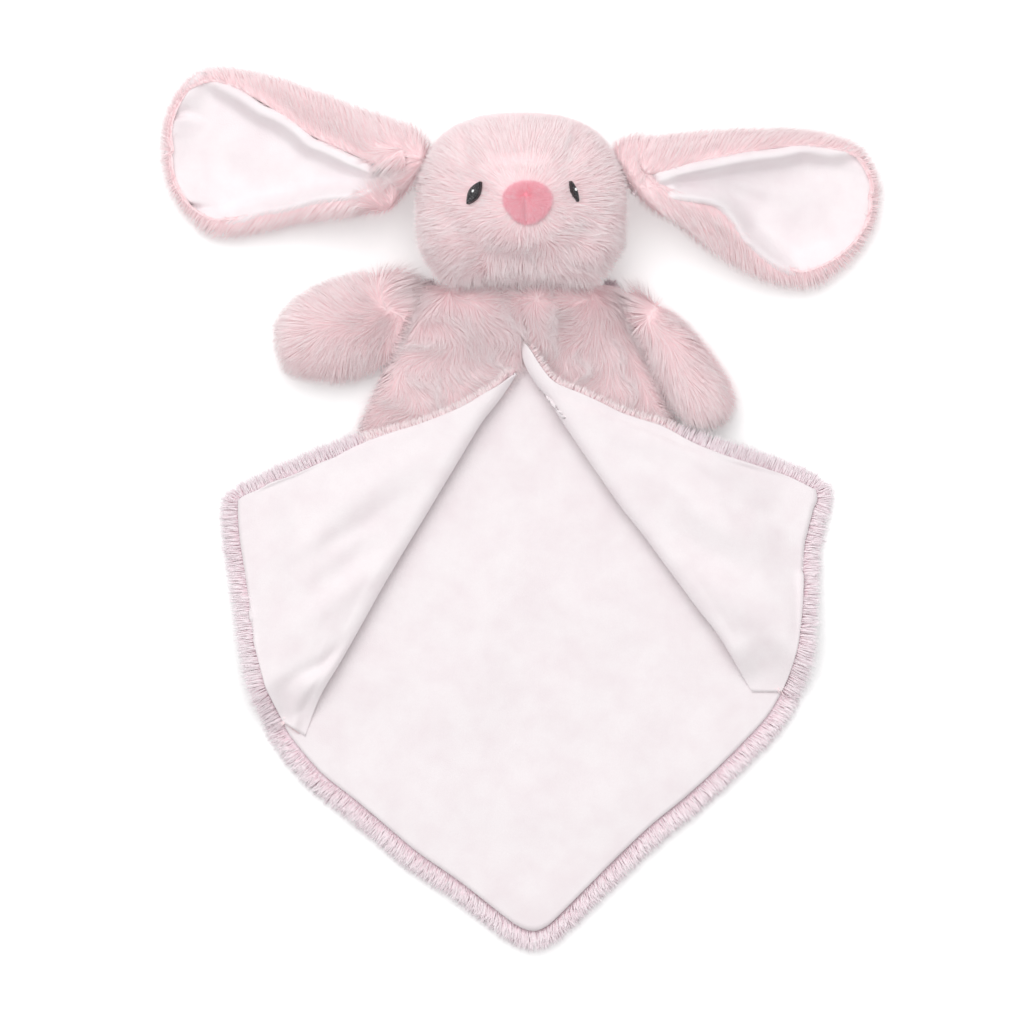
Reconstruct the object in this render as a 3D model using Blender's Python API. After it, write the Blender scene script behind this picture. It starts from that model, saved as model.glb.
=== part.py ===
"""Rabbit comforter: a plush rabbit's head with long ears and two arms, on a square blanket of two layers.

The toy lies on its back on a flat surface. +Z is up, +Y points to the crown of its head, and +X to its left.
The blanket is a square whose top corner is wrapped round the body as a cape: its two upper edges meet at the
breast, and below that point they are turned back as two flaps that show the velour lining. Plush pieces have
the thickness of their cloth and pile together.
"""

import math

import bmesh
import bpy
from mathutils import Matrix, Vector

MM = 0.001

# Clearances and cloth
GAP = 0.3 * MM
WELD = 0.001 * MM
CUT_OVERRUN = 20.0 * MM
AXIS_MARK = 20.0 * MM
SHARP_ANGLE = 50.0
HALVINGS = 40
PLUSH = 5.0 * MM
VELOUR = 1.5 * MM
HEM_PILE = 10.0 * MM
FLAP_PILE = 6.0 * MM
FLOOR_FLAT = 0.5 * MM
FILLING_CLEARANCE = 1.0 * MM

# Place of the neck, where the head and the blanket meet
NECK_Y = 117.0 * MM
NECK_GAP = 0.6 * MM
NECK_OPENING_WIDTH = 42.0 * MM
NECK_OPENING_HEIGHT = 14.0 * MM
NECK_OPENING_Z = 31.0 * MM

# Head: a soft superellipsoid with a muzzle, cut flat at the neck, of three panels round a ball of filling
HEAD_WIDTH = 110.0 * MM
HEAD_HEIGHT = 98.0 * MM
HEAD_DEPTH = 78.0 * MM
HEAD_SINK = 7.4 * MM
HEAD_WALL = 8.0 * MM
HEAD_SQUARENESS = 2.6
CHIN_TUCK = 14.0 * MM
MUZZLE_RISE = 11.0 * MM
MUZZLE_SPREAD = 30.0 * MM
MUZZLE_DROP = 2.0 * MM
FACE_TURN = 2.2 * MM

# Half width of the head's middle panel from crown to neck, as (share of the height, share of the width)
GUSSET_SHARES = ((1.0, 0.27), (0.62, 0.165), (0.34, 0.15), (0.0, 0.04))

# Face: a velour nose and two embroidered eyes, each with a stitched glint
NOSE_WIDTH = 25.0 * MM
NOSE_HEIGHT = 22.0 * MM
NOSE_THICKNESS = 8.0 * MM
NOSE_RISE = 1.6 * MM
NOSE_TAPER_SHARE = 0.14
EYE_SPACING = 53.6 * MM
EYE_RISE = 4.2 * MM
EYE_LENGTH = 15.0 * MM
EYE_WIDTH = 8.5 * MM
EYE_THICKNESS = 3.2 * MM
EYE_POINT_SHARE = 0.35
EYE_TILT = 22.0
GLINT_WIDTH = 2.6 * MM
GLINT_THICKNESS = 1.6 * MM
INLAY_CLEARANCE = 0.5 * MM

# Ears: a scoop of plush with a velour lining, rolled over along its upper edge
EAR_LENGTH = 132.0 * MM
EAR_WIDTH = 88.0 * MM
EAR_ROOT_HEIGHT = 17.0 * MM
EAR_ROLL_HEIGHT = 20.0 * MM
EAR_RIM_HEIGHT = 14.0 * MM
EAR_ROOT_LIFT = 28.0 * MM
EAR_PLUSH = 3.0 * MM
EAR_LINING = 1.0 * MM
EAR_LINING_CLEARANCE = 1.5 * MM
EAR_CLEARANCE = 0.5 * MM
EAR_AXIS_OUTSET = 1.0 * MM
EAR_PLACE_SHARE = 0.19
EAR_SEAM_SHARE = 0.19
EAR_TURN_SHARE = 0.18

# Arms: a plush sock filled with fibre
ARM_LENGTH = 79.0 * MM
ARM_WIDTH = 52.0 * MM
ARM_HEIGHT = 36.0 * MM
ARM_WALL = 6.0 * MM
ARM_ROOT_WALL_SHARE = 0.5
ARM_TIP_LIFT_SHARE = 0.6
ARM_CLEARANCE = 0.5 * MM

# Blanket: the side of the square that it is cut from, and the body inside its top corner
BLANKET_SIDE = 300.0 * MM
CHEST_RISE = 27.0 * MM
CHEST_LENGTH_SHARE = 0.8
CHEST_SQUARENESS = 4.0
TORSO_WIDTH = 70.0 * MM
TORSO_LENGTH = 22.0 * MM
TORSO_FILL_SHARE = 0.86
FLAP_START = 13.0 * MM
FLAP_DROOP_START = 9.0 * MM
FLAP_DROOP_LENGTH = 34.0 * MM
FLAP_RIPPLE = 2.6 * MM
FLAP_WAVES = (10.0, 5.0)
PANEL_RIPPLE = 1.3 * MM
PANEL_WAVES = (4.0, 9.0)
PANEL_SMOOTH_SHARE = 0.42
PANEL_RISE_SHARE = 0.25
HEM_LIFT = 0.4 * MM

# Places on the blanket, as shares of its side, measured from the middle of the neck: the body's side lines,
# the point where the cape's edges meet, the folds' lower ends, and the hems
RIGHT_SIDE_SHARES = (
    (-0.161, 0.0), (-0.201, -0.087), (-0.237, -0.173), (-0.275, -0.268), (-0.345, -0.500), (-0.413, -0.757),
)
LEFT_SIDE_SHARES = (
    (0.157, 0.0), (0.196, -0.095), (0.232, -0.182), (0.268, -0.261), (0.360, -0.480), (0.452, -0.703),
)
RIGHT_MEET_SHARE = (-0.003, -0.146)
LEFT_MEET_SHARE = (0.003, -0.134)
RIGHT_FOLD_END_SHARE = (-0.374, -0.782)
LEFT_FOLD_END_SHARE = (0.400, -0.706)
RIGHT_TOP_HEM_SHARES = (
    (-0.054, -0.182), (-0.123, -0.225), (-0.209, -0.254), (-0.296, -0.285), (-0.382, -0.327),
    (-0.452, -0.353),
)
LEFT_TOP_HEM_SHARES = (
    (0.036, -0.178), (0.090, -0.205), (0.165, -0.232), (0.238, -0.262), (0.320, -0.295), (0.420, -0.320),
    (0.480, -0.336),
)
RIGHT_CORNER_SHARE = (-0.492, -0.378)
LEFT_CORNER_SHARE = (0.511, -0.355)
RIGHT_SIDE_HEM_SHARES = ((-0.487, -0.442), (-0.477, -0.511), (-0.464, -0.610), (-0.444, -0.693))
LEFT_SIDE_HEM_SHARES = ((0.498, -0.425), (0.488, -0.500), (0.485, -0.581), (0.474, -0.650))
RIGHT_BOTTOM_HEM_SHARES = (
    (-0.385, -0.806), (-0.345, -0.846), (-0.231, -0.939), (-0.104, -1.035), (-0.030, -1.094), (0.000, -1.114),
)
LEFT_BOTTOM_HEM_SHARES = (
    (0.057, -1.101), (0.114, -1.044), (0.227, -0.934), (0.340, -0.837), (0.426, -0.747),
)
TIP_SHARE = (0.024, -1.122)

# Ear stations from the root to the tip, as shares of the ear's length and width, measured from the middle of
# the root: upper edge along and across, lower edge along and across, and how far in each lip reaches
RIGHT_EAR_SHARES = (
    ((0.000, 0.000), (0.000, 0.000), 0.10, 0.10),
    ((-0.066, 0.190), (0.066, -0.190), 0.17, 0.13),
    ((0.080, 0.250), (0.130, -0.255), 0.28, 0.16),
    ((0.250, 0.370), (0.260, -0.300), 0.29, 0.155),
    ((0.410, 0.465), (0.410, -0.330), 0.28, 0.15),
    ((0.560, 0.540), (0.560, -0.375), 0.20, 0.15),
    ((0.700, 0.585), (0.690, -0.410), 0.12, 0.13),
    ((0.820, 0.585), (0.800, -0.395), 0.06, 0.10),
    ((0.910, 0.510), (0.890, -0.300), 0.045, 0.08),
    ((0.965, 0.370), (0.955, -0.150), 0.045, 0.07),
    ((0.992, 0.220), (0.990, 0.020), 0.05, 0.06),
    ((1.000, 0.120), (1.000, 0.120), 0.055, 0.055),
)
LEFT_EAR_SHARES = (
    ((0.000, 0.000), (0.000, 0.000), 0.10, 0.10),
    ((-0.050, 0.170), (0.050, -0.170), 0.18, 0.11),
    ((0.110, 0.170), (0.120, -0.240), 0.22, 0.15),
    ((0.270, 0.215), (0.250, -0.400), 0.19, 0.24),
    ((0.420, 0.235), (0.400, -0.560), 0.16, 0.30),
    ((0.570, 0.245), (0.550, -0.665), 0.13, 0.15),
    ((0.710, 0.235), (0.700, -0.705), 0.10, 0.10),
    ((0.830, 0.190), (0.810, -0.640), 0.08, 0.10),
    ((0.915, 0.135), (0.900, -0.520), 0.06, 0.09),
    ((0.965, 0.020), (0.960, -0.370), 0.05, 0.08),
    ((0.992, -0.090), (0.990, -0.240), 0.05, 0.06),
    ((1.000, -0.170), (1.000, -0.170), 0.055, 0.055),
)
EAR_UNDERSIDE_SHARES = (1.0, 1.0, 0.95, 0.70, 0.38, 0.14, 0.03, 0.0, 0.0, 0.0, 0.0, 0.0)
EAR_RIM_SHARES = (1.0, 1.0, 0.8, 0.5, 0.2, 0.0, 0.0, 0.0, 0.0, 0.0, 0.0, 0.0)
EAR_RIM_ANGLES = (-90.0, -45.0, 0.0)
EAR_LIP_SHARES = (0.5, 0.9, 1.0)
EAR_ROLL_SHARES = (0.0, 0.0, 0.35, 0.8, 1.0, 1.0, 0.7, 0.4, 0.2, 0.1, 0.0, 0.0)
LOWER_ROLL_SHARE = 0.5

# Arm stations from the root to the tip, as shares of the arm's length and width, measured from the blanket's
# corner beside the neck: upper edge, lower edge, and height as a share of the arm's height
RIGHT_ARM_SHARES = (
    ((-0.012, -0.03), (-0.254, -0.85), 0.50),
    ((-0.19, 0.20), (-0.44, -0.95), 0.78),
    ((-0.39, 0.14), (-0.58, -0.98), 0.93),
    ((-0.56, 0.08), (-0.72, -0.97), 1.0),
    ((-0.73, 0.00), (-0.85, -0.94), 0.98),
    ((-0.87, -0.13), (-0.93, -0.86), 0.86),
    ((-0.955, -0.26), (-0.975, -0.74), 0.64),
    ((-1.00, -0.40), (-0.995, -0.58), 0.28),
)
LEFT_ARM_SHARES = (
    ((0.012, -0.03), (0.235, -0.85), 0.50),
    ((0.155, 0.00), (0.305, -1.06), 0.78),
    ((0.30, -0.13), (0.385, -1.25), 0.93),
    ((0.45, -0.30), (0.465, -1.39), 1.0),
    ((0.58, -0.51), (0.565, -1.45), 0.98),
    ((0.70, -0.75), (0.67, -1.43), 0.86),
    ((0.78, -0.95), (0.76, -1.36), 0.64),
    ((0.815, -1.10), (0.81, -1.23), 0.28),
)

# How finely each form is divided
HEAD_AROUND = 32
HEAD_RINGS = 11
FILLING_RINGS = 8
ARM_AROUND = 18
NOSE_CELLS = (18, 6)
EYE_CELLS = (14, 6)
GLINT_CELLS = (8, 4)
PANEL_CELLS = (12, 13)
CAPE_CELLS = (6, 13)
CAPE_CROWDING = 1.6
FLAP_CELLS = (8, 12)
TORSO_CELLS = (10, 5)

# Levels of the layers, each resting on the one before
BACK_PLUSH_Z = 0.0
FACE_VELOUR_Z = BACK_PLUSH_Z + PLUSH + GAP
CAPE_LINING_Z = FACE_VELOUR_Z + VELOUR + GAP
CAPE_PLUSH_Z = CAPE_LINING_Z + VELOUR + GAP
FLAP_PLUSH_Z = CAPE_PLUSH_Z + PLUSH + GAP
FLAP_VELOUR_Z = FLAP_PLUSH_Z + PLUSH + GAP

SIDES = {"left": 1, "right": -1}
HEAD_CENTRE = Vector((0.0, NECK_Y + HEAD_HEIGHT / 2 - HEAD_SINK, HEAD_DEPTH / 2 - FLOOR_FLAT))


def clear_scene():
    """Removes every object of the scene that is open."""
    for obj in list(bpy.data.objects):
        bpy.data.objects.remove(obj)


def material(name, colour, roughness, sheen=0.0):
    """A cloth or thread finish as a Principled material."""
    made = bpy.data.materials.new(name)
    made.use_nodes = True
    shader = made.node_tree.nodes["Principled BSDF"]
    shader.inputs["Base Color"].default_value = (*colour, 1.0)
    shader.inputs["Roughness"].default_value = roughness
    shader.inputs["Metallic"].default_value = 0.0
    shader.inputs["Sheen Weight"].default_value = sheen
    return made


def finish(bm, name, finish_material=None):
    """Turns a bmesh into a named object with its faces pointing out."""
    bmesh.ops.recalc_face_normals(bm, faces=bm.faces)
    mesh = bpy.data.meshes.new(name)
    bm.to_mesh(mesh)
    bm.free()
    if finish_material:
        mesh.materials.append(finish_material)
    mesh.shade_smooth()
    mesh.set_sharp_from_angle(angle=math.radians(SHARP_ANGLE))
    obj = bpy.data.objects.new(name, mesh)
    bpy.context.scene.collection.objects.link(obj)
    return obj


def bent_grid(cells, place):
    """A grid whose corners go to place(across, along), both from 0 to 1, with its meeting edges welded."""
    bm = bmesh.new()
    bmesh.ops.create_grid(bm, x_segments=cells[0], y_segments=cells[1], size=0.5)
    for vert in bm.verts:
        vert.co = place(vert.co.x + 0.5, vert.co.y + 0.5)
    bmesh.ops.remove_doubles(bm, verts=bm.verts, dist=WELD)
    return bm


def loft(name, around, sections, place, finish_material=None):
    """A closed skin through a list of sections: place(section, turn) is a point, with turn from 0 to 1."""
    rows = len(sections) - 1
    bm = bent_grid((around, rows), lambda turn, along: place(sections[round(along * rows)], turn))
    return finish(bm, name, finish_material)


def smooth_step(value):
    """0 below 0, 1 above 1, and a smooth rise between."""
    held = min(max(value, 0.0), 1.0)
    return held * held * (3.0 - 2.0 * held)


def wave(waves, across, along):
    """A slanting wave between 0 and 1, with its phase's rise over the width and the length of a patch."""
    return (1.0 + math.sin(waves[0] * across + waves[1] * along)) / 2


def halved(low, high, is_inside):
    """The value between low, which is inside, and high, which is outside, where the inside ends."""
    for _ in range(HALVINGS):
        middle = (low + high) / 2
        if is_inside(middle):
            low = middle
        else:
            high = middle
    return (low + high) / 2


def joint_axis(name, point, along, pieces, carrier=None):
    """An empty on a joint's axis, with its X along it, that carries the pieces which turn about it."""
    axis = bpy.data.objects.new(name, None)
    axis.empty_display_type = "ARROWS"
    axis.empty_display_size = AXIS_MARK
    bpy.context.scene.collection.objects.link(axis)
    turn = Vector((*along, 0.0)).to_track_quat("X", "Z").to_matrix().to_4x4()
    axis.matrix_basis = Matrix.Translation(point) @ turn
    if carrier:
        hang([axis], carrier)
    hang(pieces, axis)
    hang([modifier.object for piece in pieces for modifier in piece.modifiers], axis)
    return axis


def hang(objects, axis):
    """Parents objects to an axis where they are."""
    for obj in objects:
        obj.parent = axis
        obj.matrix_parent_inverse = axis.matrix_basis.inverted()


# Lines of the blanket's plan
def blanket_point(share):
    """A point of the blanket's plan from its share of the side."""
    return Vector((share[0] * BLANKET_SIDE, NECK_Y - NECK_GAP / 2 + share[1] * BLANKET_SIDE))


def pushed_out(point, centre, distance):
    """A point moved away from a centre."""
    return point + (point - centre).normalized() * distance


def blanket_lines(pile):
    """Every edge line of the blanket's pieces, by name, with its lower hems moved out by the pile over them."""
    lines = {}
    top = blanket_point((0.0, 0.0))
    plans = {
        "right": (RIGHT_SIDE_SHARES, RIGHT_MEET_SHARE, RIGHT_FOLD_END_SHARE, RIGHT_TOP_HEM_SHARES,
                  RIGHT_CORNER_SHARE, RIGHT_SIDE_HEM_SHARES, RIGHT_BOTTOM_HEM_SHARES),
        "left": (LEFT_SIDE_SHARES, LEFT_MEET_SHARE, LEFT_FOLD_END_SHARE, LEFT_TOP_HEM_SHARES,
                 LEFT_CORNER_SHARE, LEFT_SIDE_HEM_SHARES, LEFT_BOTTOM_HEM_SHARES),
    }
    hem = []
    for side, (body, meet_share, fold_end_share, top_hem, corner, side_hem, bottom_hem) in plans.items():
        seam_top = top + Vector((SIDES[side] * GAP / 2, 0.0))
        meet = blanket_point(meet_share)
        foot = pushed_out(blanket_point(body[-1]), top, pile)
        fold_end = pushed_out(blanket_point(fold_end_share), top, pile)
        low = [pushed_out(blanket_point(share), top, pile) for share in bottom_hem]
        tip = pushed_out(blanket_point(TIP_SHARE), top, pile)
        hem += [foot, *low] if side == "right" else [tip, *low, foot]
        lines[side, "body"] = [*(blanket_point(share) for share in body[:-1]), foot]
        start = meet + (fold_end - meet).normalized() * FLAP_START
        lines[side, "fold"] = [start, fold_end]
        lines[side, "top hem"] = [start, *(blanket_point(share) for share in (*top_hem, corner))]
        lines[side, "side hem"] = [*(blanket_point(share) for share in (corner, *side_hem)), foot]
        lines[side, "seam"] = [seam_top, meet, fold_end]
        lines[side, "neck"] = [seam_top, blanket_point(body[0])]
        lines[side, "foot"] = [fold_end, foot]
    lines["bottom hem"] = hem
    lines["neck"] = [lines["right", "neck"][-1], lines["left", "neck"][-1]]
    return lines


def along_line(points, share):
    """The point at a share of the length of a line of points."""
    lengths = [(b - a).length for a, b in zip(points, points[1:])]
    left = share * sum(lengths)
    for a, b, length in zip(points, points[1:], lengths):
        if left <= length:
            return a.lerp(b, left / length)
        left -= length
    return points[-1].copy()


def patch_point(edges, across, along):
    """The point of a four-sided patch inside its edges: top and bottom run across, left and right along."""
    top, bottom, left, right = edges
    ruled = along_line(top, across).lerp(along_line(bottom, across), along)
    ruled += along_line(left, along).lerp(along_line(right, along), across)
    return ruled - top[0].lerp(top[-1], across).lerp(bottom[0].lerp(bottom[-1], across), along)


def y_at(line, x):
    """The y of a line of points where it crosses x, held at its ends."""
    ordered = sorted(line, key=lambda point: point.x)
    held = min(max(x, ordered[0].x), ordered[-1].x)
    for a, b in zip(ordered, ordered[1:]):
        if a.x <= held <= b.x and b.x > a.x:
            return a.lerp(b, (held - a.x) / (b.x - a.x)).y
    return ordered[-1].y


def x_at(line, y):
    """The x of a falling line of points at y, carried on past its ends."""
    pairs = list(zip(line, line[1:]))
    crossed = [(a, b) for a, b in pairs if b.y <= y <= a.y]
    a, b = crossed[0] if crossed else pairs[0] if y > line[0].y else pairs[-1]
    return a.x + (b.x - a.x) * (a.y - y) / (a.y - b.y)


# The blanket
def chest_rise(lines, x, y):
    """How far the torso's filling lifts the front of the cape at a point."""
    side = "left" if x > 0 else "right"
    neck_y = lines["neck"][0].y
    down = (neck_y - y) / max(neck_y - y_at(lines[side, "top hem"], x), GAP)
    out = min(abs(x) / abs(x_at(lines[side, "body"], y)), 1.0)
    return CHEST_RISE * (1.0 - smooth_step(down / CHEST_LENGTH_SHARE)) * (1.0 - out**CHEST_SQUARENESS)


def cloth(name, cells, edges, under, over, finish_material, crowding=1.0, pile=0.0):
    """A sheet of cloth over a patch: under and over give the heights of its faces at (x, y, across, along).

    Crowding draws its cells to the top edge, and pile adds a column of cells that hangs over the right edge.
    """
    tops = []
    columns = cells[0] + (1 if pile else 0)
    left_middle = along_line(edges[2], 0.5)

    def place(across, along):
        wide, crowded = across * columns / cells[0], along**crowding
        flat = patch_point(edges, min(wide, 1.0), crowded)
        flat = pushed_out(flat, left_middle, max(wide - 1.0, 0.0) * cells[0] * pile)
        at = (flat.x, flat.y, min(wide, 1.0), crowded)
        tops.append(Vector((flat.x, flat.y, over(*at))))
        return Vector((flat.x, flat.y, under(*at)))

    bm = bent_grid((columns, cells[1]), place)
    raised = bmesh.ops.extrude_face_region(bm, geom=bm.faces[:])["geom"]
    for vert in (item for item in raised if isinstance(item, bmesh.types.BMVert)):
        vert.co = min(tops, key=lambda point: (point.xy - vert.co.xy).length_squared)
    return finish(bm, name, finish_material)


def build_blanket(plush_lines, velour_lines, plush, velour):
    """The square's back panel: plush below and velour above, from the neck to the tip."""
    def edges(lines):
        return lines["neck"], lines["bottom hem"], lines["right", "body"], lines["left", "body"]

    def ripple(across, along):
        shown = smooth_step((along - PANEL_SMOOTH_SHARE) / PANEL_RISE_SHARE) * math.sin(math.pi * across) ** 2
        return PANEL_RIPPLE * shown * wave(PANEL_WAVES, across, along)

    cloth("blanket_back_plush", PANEL_CELLS, edges(plush_lines), lambda *at: BACK_PLUSH_Z,
          lambda *at: BACK_PLUSH_Z + PLUSH, plush)
    cloth("blanket_face_velour", PANEL_CELLS, edges(velour_lines), lambda *at: FACE_VELOUR_Z,
          lambda *at: FACE_VELOUR_Z + VELOUR + ripple(*at[2:]), velour)


def build_cape(side, lines, plush, velour):
    """One half of the cape's front: it closes over the breast and runs on under the flap to the fold."""
    edges = (lines[side, "neck"], lines[side, "foot"], lines[side, "seam"], lines[side, "body"])

    def raised(level):
        return lambda x, y, across, along: level + chest_rise(lines, x, y)

    for name, z, thickness, cloth_material in (("lining", CAPE_LINING_Z, VELOUR, velour),
                                               ("plush", CAPE_PLUSH_Z, PLUSH, plush)):
        cloth(f"{side}_cape_{name}", CAPE_CELLS, edges, raised(z), raised(z + thickness), cloth_material,
              CAPE_CROWDING)


def build_flap(side, lines, plush, velour):
    """One flap, turned back along its fold: plush below and velour above, drooping past the body's side."""
    edges = (lines[side, "top hem"], lines[side, "foot"], lines[side, "fold"], lines[side, "side hem"])

    def droop(x, y):
        outside = SIDES[side] * (x - x_at(lines[side, "body"], y))
        return (FLAP_PLUSH_Z - HEM_LIFT) * smooth_step((outside - FLAP_DROOP_START) / FLAP_DROOP_LENGTH)

    def ripple(across, along):
        shown = math.sin(math.pi * across) * math.sin(math.pi * along)
        return FLAP_RIPPLE * shown * wave(FLAP_WAVES, across, along)

    def level(height, rippled=0.0):
        return lambda x, y, across, along: height - droop(x, y) + rippled * ripple(across, along)

    pieces = [
        cloth(f"{side}_flap_plush", FLAP_CELLS, edges, level(FLAP_PLUSH_Z), level(FLAP_PLUSH_Z + PLUSH),
              plush, pile=FLAP_PILE),
        cloth(f"{side}_flap_velour", FLAP_CELLS, edges, level(FLAP_VELOUR_Z),
              level(FLAP_VELOUR_Z + VELOUR, 1.0), velour),
    ]
    meet, fold_end = lines[side, "fold"]
    axis_z = CAPE_PLUSH_Z + PLUSH + GAP / 2
    joint_axis(f"{side} flap fold axis", (*meet.lerp(fold_end, 0.5), axis_z), fold_end - meet, pieces)


def build_torso_filling(lines, filling):
    """The pad of filling in the chest, between the back panel and the cape's front."""
    neck_y = lines["neck"][0].y

    def place(across, along):
        angle = math.pi * across
        x = -TORSO_WIDTH / 2 * along * math.cos(angle)
        return Vector((x, neck_y - TORSO_LENGTH * along * math.sin(angle), CAPE_LINING_Z))

    bm = bent_grid(TORSO_CELLS, place)
    raised = bmesh.ops.extrude_face_region(bm, geom=bm.faces[:])["geom"]
    for vert in (item for item in raised if isinstance(item, bmesh.types.BMVert)):
        vert.co.z += max(TORSO_FILL_SHARE * chest_rise(lines, *vert.co.xy) - FILLING_CLEARANCE, VELOUR)
    finish(bm, "torso_filling", filling)


# The head
def head_radius(direction):
    """Distance from the head's middle to its surface along a direction: a superellipsoid with a muzzle."""
    half = (HEAD_WIDTH / 2, HEAD_HEIGHT / 2, HEAD_DEPTH / 2)
    total = sum(abs(part / size) ** HEAD_SQUARENESS for part, size in zip(direction, half))
    base = total ** (-1.0 / HEAD_SQUARENESS)
    muzzle = Vector((FACE_TURN, -MUZZLE_DROP, HEAD_DEPTH / 2))
    off = direction.angle(muzzle) * base / MUZZLE_SPREAD
    return base + MUZZLE_RISE * math.exp(-off * off)


def is_in_head(offset):
    """Whether a point, measured from the head's middle, is inside its surface."""
    return offset.length < head_radius(offset.normalized())


def head_point(around, latitude):
    """A point of the head's surface. Latitude is 90 degrees at the crown."""
    flat = math.cos(latitude)
    direction = Vector((flat * math.cos(around), math.sin(latitude), flat * math.sin(around)))
    return HEAD_CENTRE + direction * head_radius(direction)


def head_ring(section, turn):
    """A point on one ring of the head, or on a ring of its neck.

    A section is (share of the way from the crown to the neck, inset) or ("neck", depth, share of the opening).
    """
    around = math.tau * turn
    if section[0] == "neck":
        depth, size = section[1:]
        return Vector((size * NECK_OPENING_WIDTH / 2 * math.cos(around), NECK_Y + NECK_GAP / 2 + depth,
                       NECK_OPENING_Z + size * NECK_OPENING_HEIGHT / 2 * math.sin(around)))
    share, inset = section
    bottom_y = NECK_Y + NECK_GAP / 2 + inset
    crown = math.pi / 2
    rim = halved(0.0, -crown, lambda latitude: head_point(around, latitude).y > bottom_y)
    point = head_point(around, crown + (rim - crown) * share)
    core = Vector((HEAD_CENTRE.x, min(point.y, HEAD_CENTRE.y), HEAD_CENTRE.z))
    point -= (point - core).normalized() * inset
    point.z = max(point.z, inset)
    if share == 0:
        point.x, point.z = HEAD_CENTRE.x, HEAD_CENTRE.z
    if share == 1:
        point.y = bottom_y
    below = max(HEAD_CENTRE.y - point.y, 0.0) / (HEAD_HEIGHT / 2)
    front = max(point.z - HEAD_CENTRE.z, 0.0) / (HEAD_DEPTH / 2)
    point.y += CHIN_TUCK * below * below * front
    return point


def as_cutter(obj):
    """Marks an object as a cutter, which isn't part of the toy."""
    obj.hide_render = True
    obj.display_type = "WIRE"
    return obj


def prism(name, plan, low, high):
    """A cutter: a plan outline raised from low to high."""
    bm = bmesh.new()
    base = bm.faces.new([bm.verts.new((x, y, low)) for x, y in plan])
    raised = bmesh.ops.extrude_face_region(bm, geom=[base])["geom"]
    for vert in (item for item in raised if isinstance(item, bmesh.types.BMVert)):
        vert.co.z = high
    return as_cutter(finish(bm, name))


def trim(obj, operation, cutter):
    """Adds an exact Boolean with a cutter to an object."""
    modifier = obj.modifiers.new(f"{operation.lower()} {cutter.name}", "BOOLEAN")
    modifier.operation = operation
    modifier.object = cutter
    modifier.solver = "EXACT"


def build_head_panels(plush):
    """The gusset and the two side panels, cut from one hollow head along its two seams."""
    outer = [(step / HEAD_RINGS, 0.0) for step in range(HEAD_RINGS + 1)]
    neck = [("neck", 0.0, 1.0), ("neck", HEAD_WALL, 1.0)]
    inner = [(1.0 - step / FILLING_RINGS, HEAD_WALL) for step in range(FILLING_RINGS + 1)]
    sections = outer + neck + inner
    top, bottom = NECK_Y + HEAD_HEIGHT + CUT_OVERRUN, NECK_Y - CUT_OVERRUN
    low, high = -CUT_OVERRUN, HEAD_DEPTH + MUZZLE_RISE + CUT_OVERRUN
    seam = [(share[1] * HEAD_WIDTH, NECK_Y + share[0] * HEAD_HEIGHT) for share in GUSSET_SHARES]
    seam = [(seam[0][0], top), *seam, (seam[-1][0], bottom)]
    panels = {}
    middle = [(FACE_TURN - x + GAP / 2, y) for x, y in seam]
    middle += [(FACE_TURN + x - GAP / 2, y) for x, y in seam[::-1]]
    panels["gusset"] = loft("head_gusset", HEAD_AROUND, sections, head_ring, plush)
    trim(panels["gusset"], "INTERSECT", prism("gusset cutter", middle, low, high))
    for side, sign in SIDES.items():
        far = sign * (HEAD_WIDTH / 2 + CUT_OVERRUN)
        plan = [(FACE_TURN + sign * (x + GAP / 2), y) for x, y in seam] + [(far, bottom), (far, top)]
        panels[side] = loft(f"head_{side}_side", HEAD_AROUND, sections, head_ring, plush)
        trim(panels[side], "INTERSECT", prism(f"{side} side cutter", plan, low, high))
    return panels


def face_point(x, y):
    """The point of the face above (x, y), measured from the head's middle."""
    return Vector((x, y, halved(0.0, HEAD_DEPTH, lambda z: is_in_head(Vector((x, y, z))))))


def face_place(x, y, tilt, sink):
    """Where an inlay goes on the face: above (x, y) of the head's middle, tilted and sunk into the pile."""
    step = HEAD_WALL / 4
    across = face_point(x + step, y) - face_point(x - step, y)
    normal = across.cross(face_point(x, y + step) - face_point(x, y - step)).normalized()
    across = Vector((0.0, 1.0, 0.0)).cross(normal).normalized()
    turn = Matrix((across, normal.cross(across), normal)).transposed().to_4x4()
    place = Matrix.Translation(HEAD_CENTRE + face_point(x, y) - normal * sink)
    return place @ turn @ Matrix.Rotation(math.radians(tilt), 4, "Z")


def inlay(name, cells, size, place, finish_material=None, growth=0.0, pointed=0.0, taper=0.0):
    """A flattened ball, of stitching or of velour, with its ends pointed or its lower half tapered."""
    half = [width / 2 + growth for width in size]

    def ring(latitude, turn):
        across = math.cos(latitude) * math.cos(math.tau * turn)
        up = math.cos(latitude) * math.sin(math.tau * turn)
        width = half[0] * (1.0 - pointed * up * up + taper * up)
        return place @ Vector((width * across, half[1] * up, half[2] * math.sin(latitude)))

    latitudes = [math.pi * (step / cells[1] - 0.5) for step in range(cells[1] + 1)]
    return loft(name, cells[0], latitudes, ring, finish_material)


def seated_inlay(name, cells, size, place, finish_material, carrier, clearance, **shape):
    """An inlay with its seat cut into the piece that carries it."""
    made = inlay(name, cells, size, place, finish_material, **shape)
    seat = inlay(f"{name} seat", cells, size, place, growth=clearance, **shape)
    trim(carrier, "DIFFERENCE", as_cutter(seat))
    return made


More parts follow.
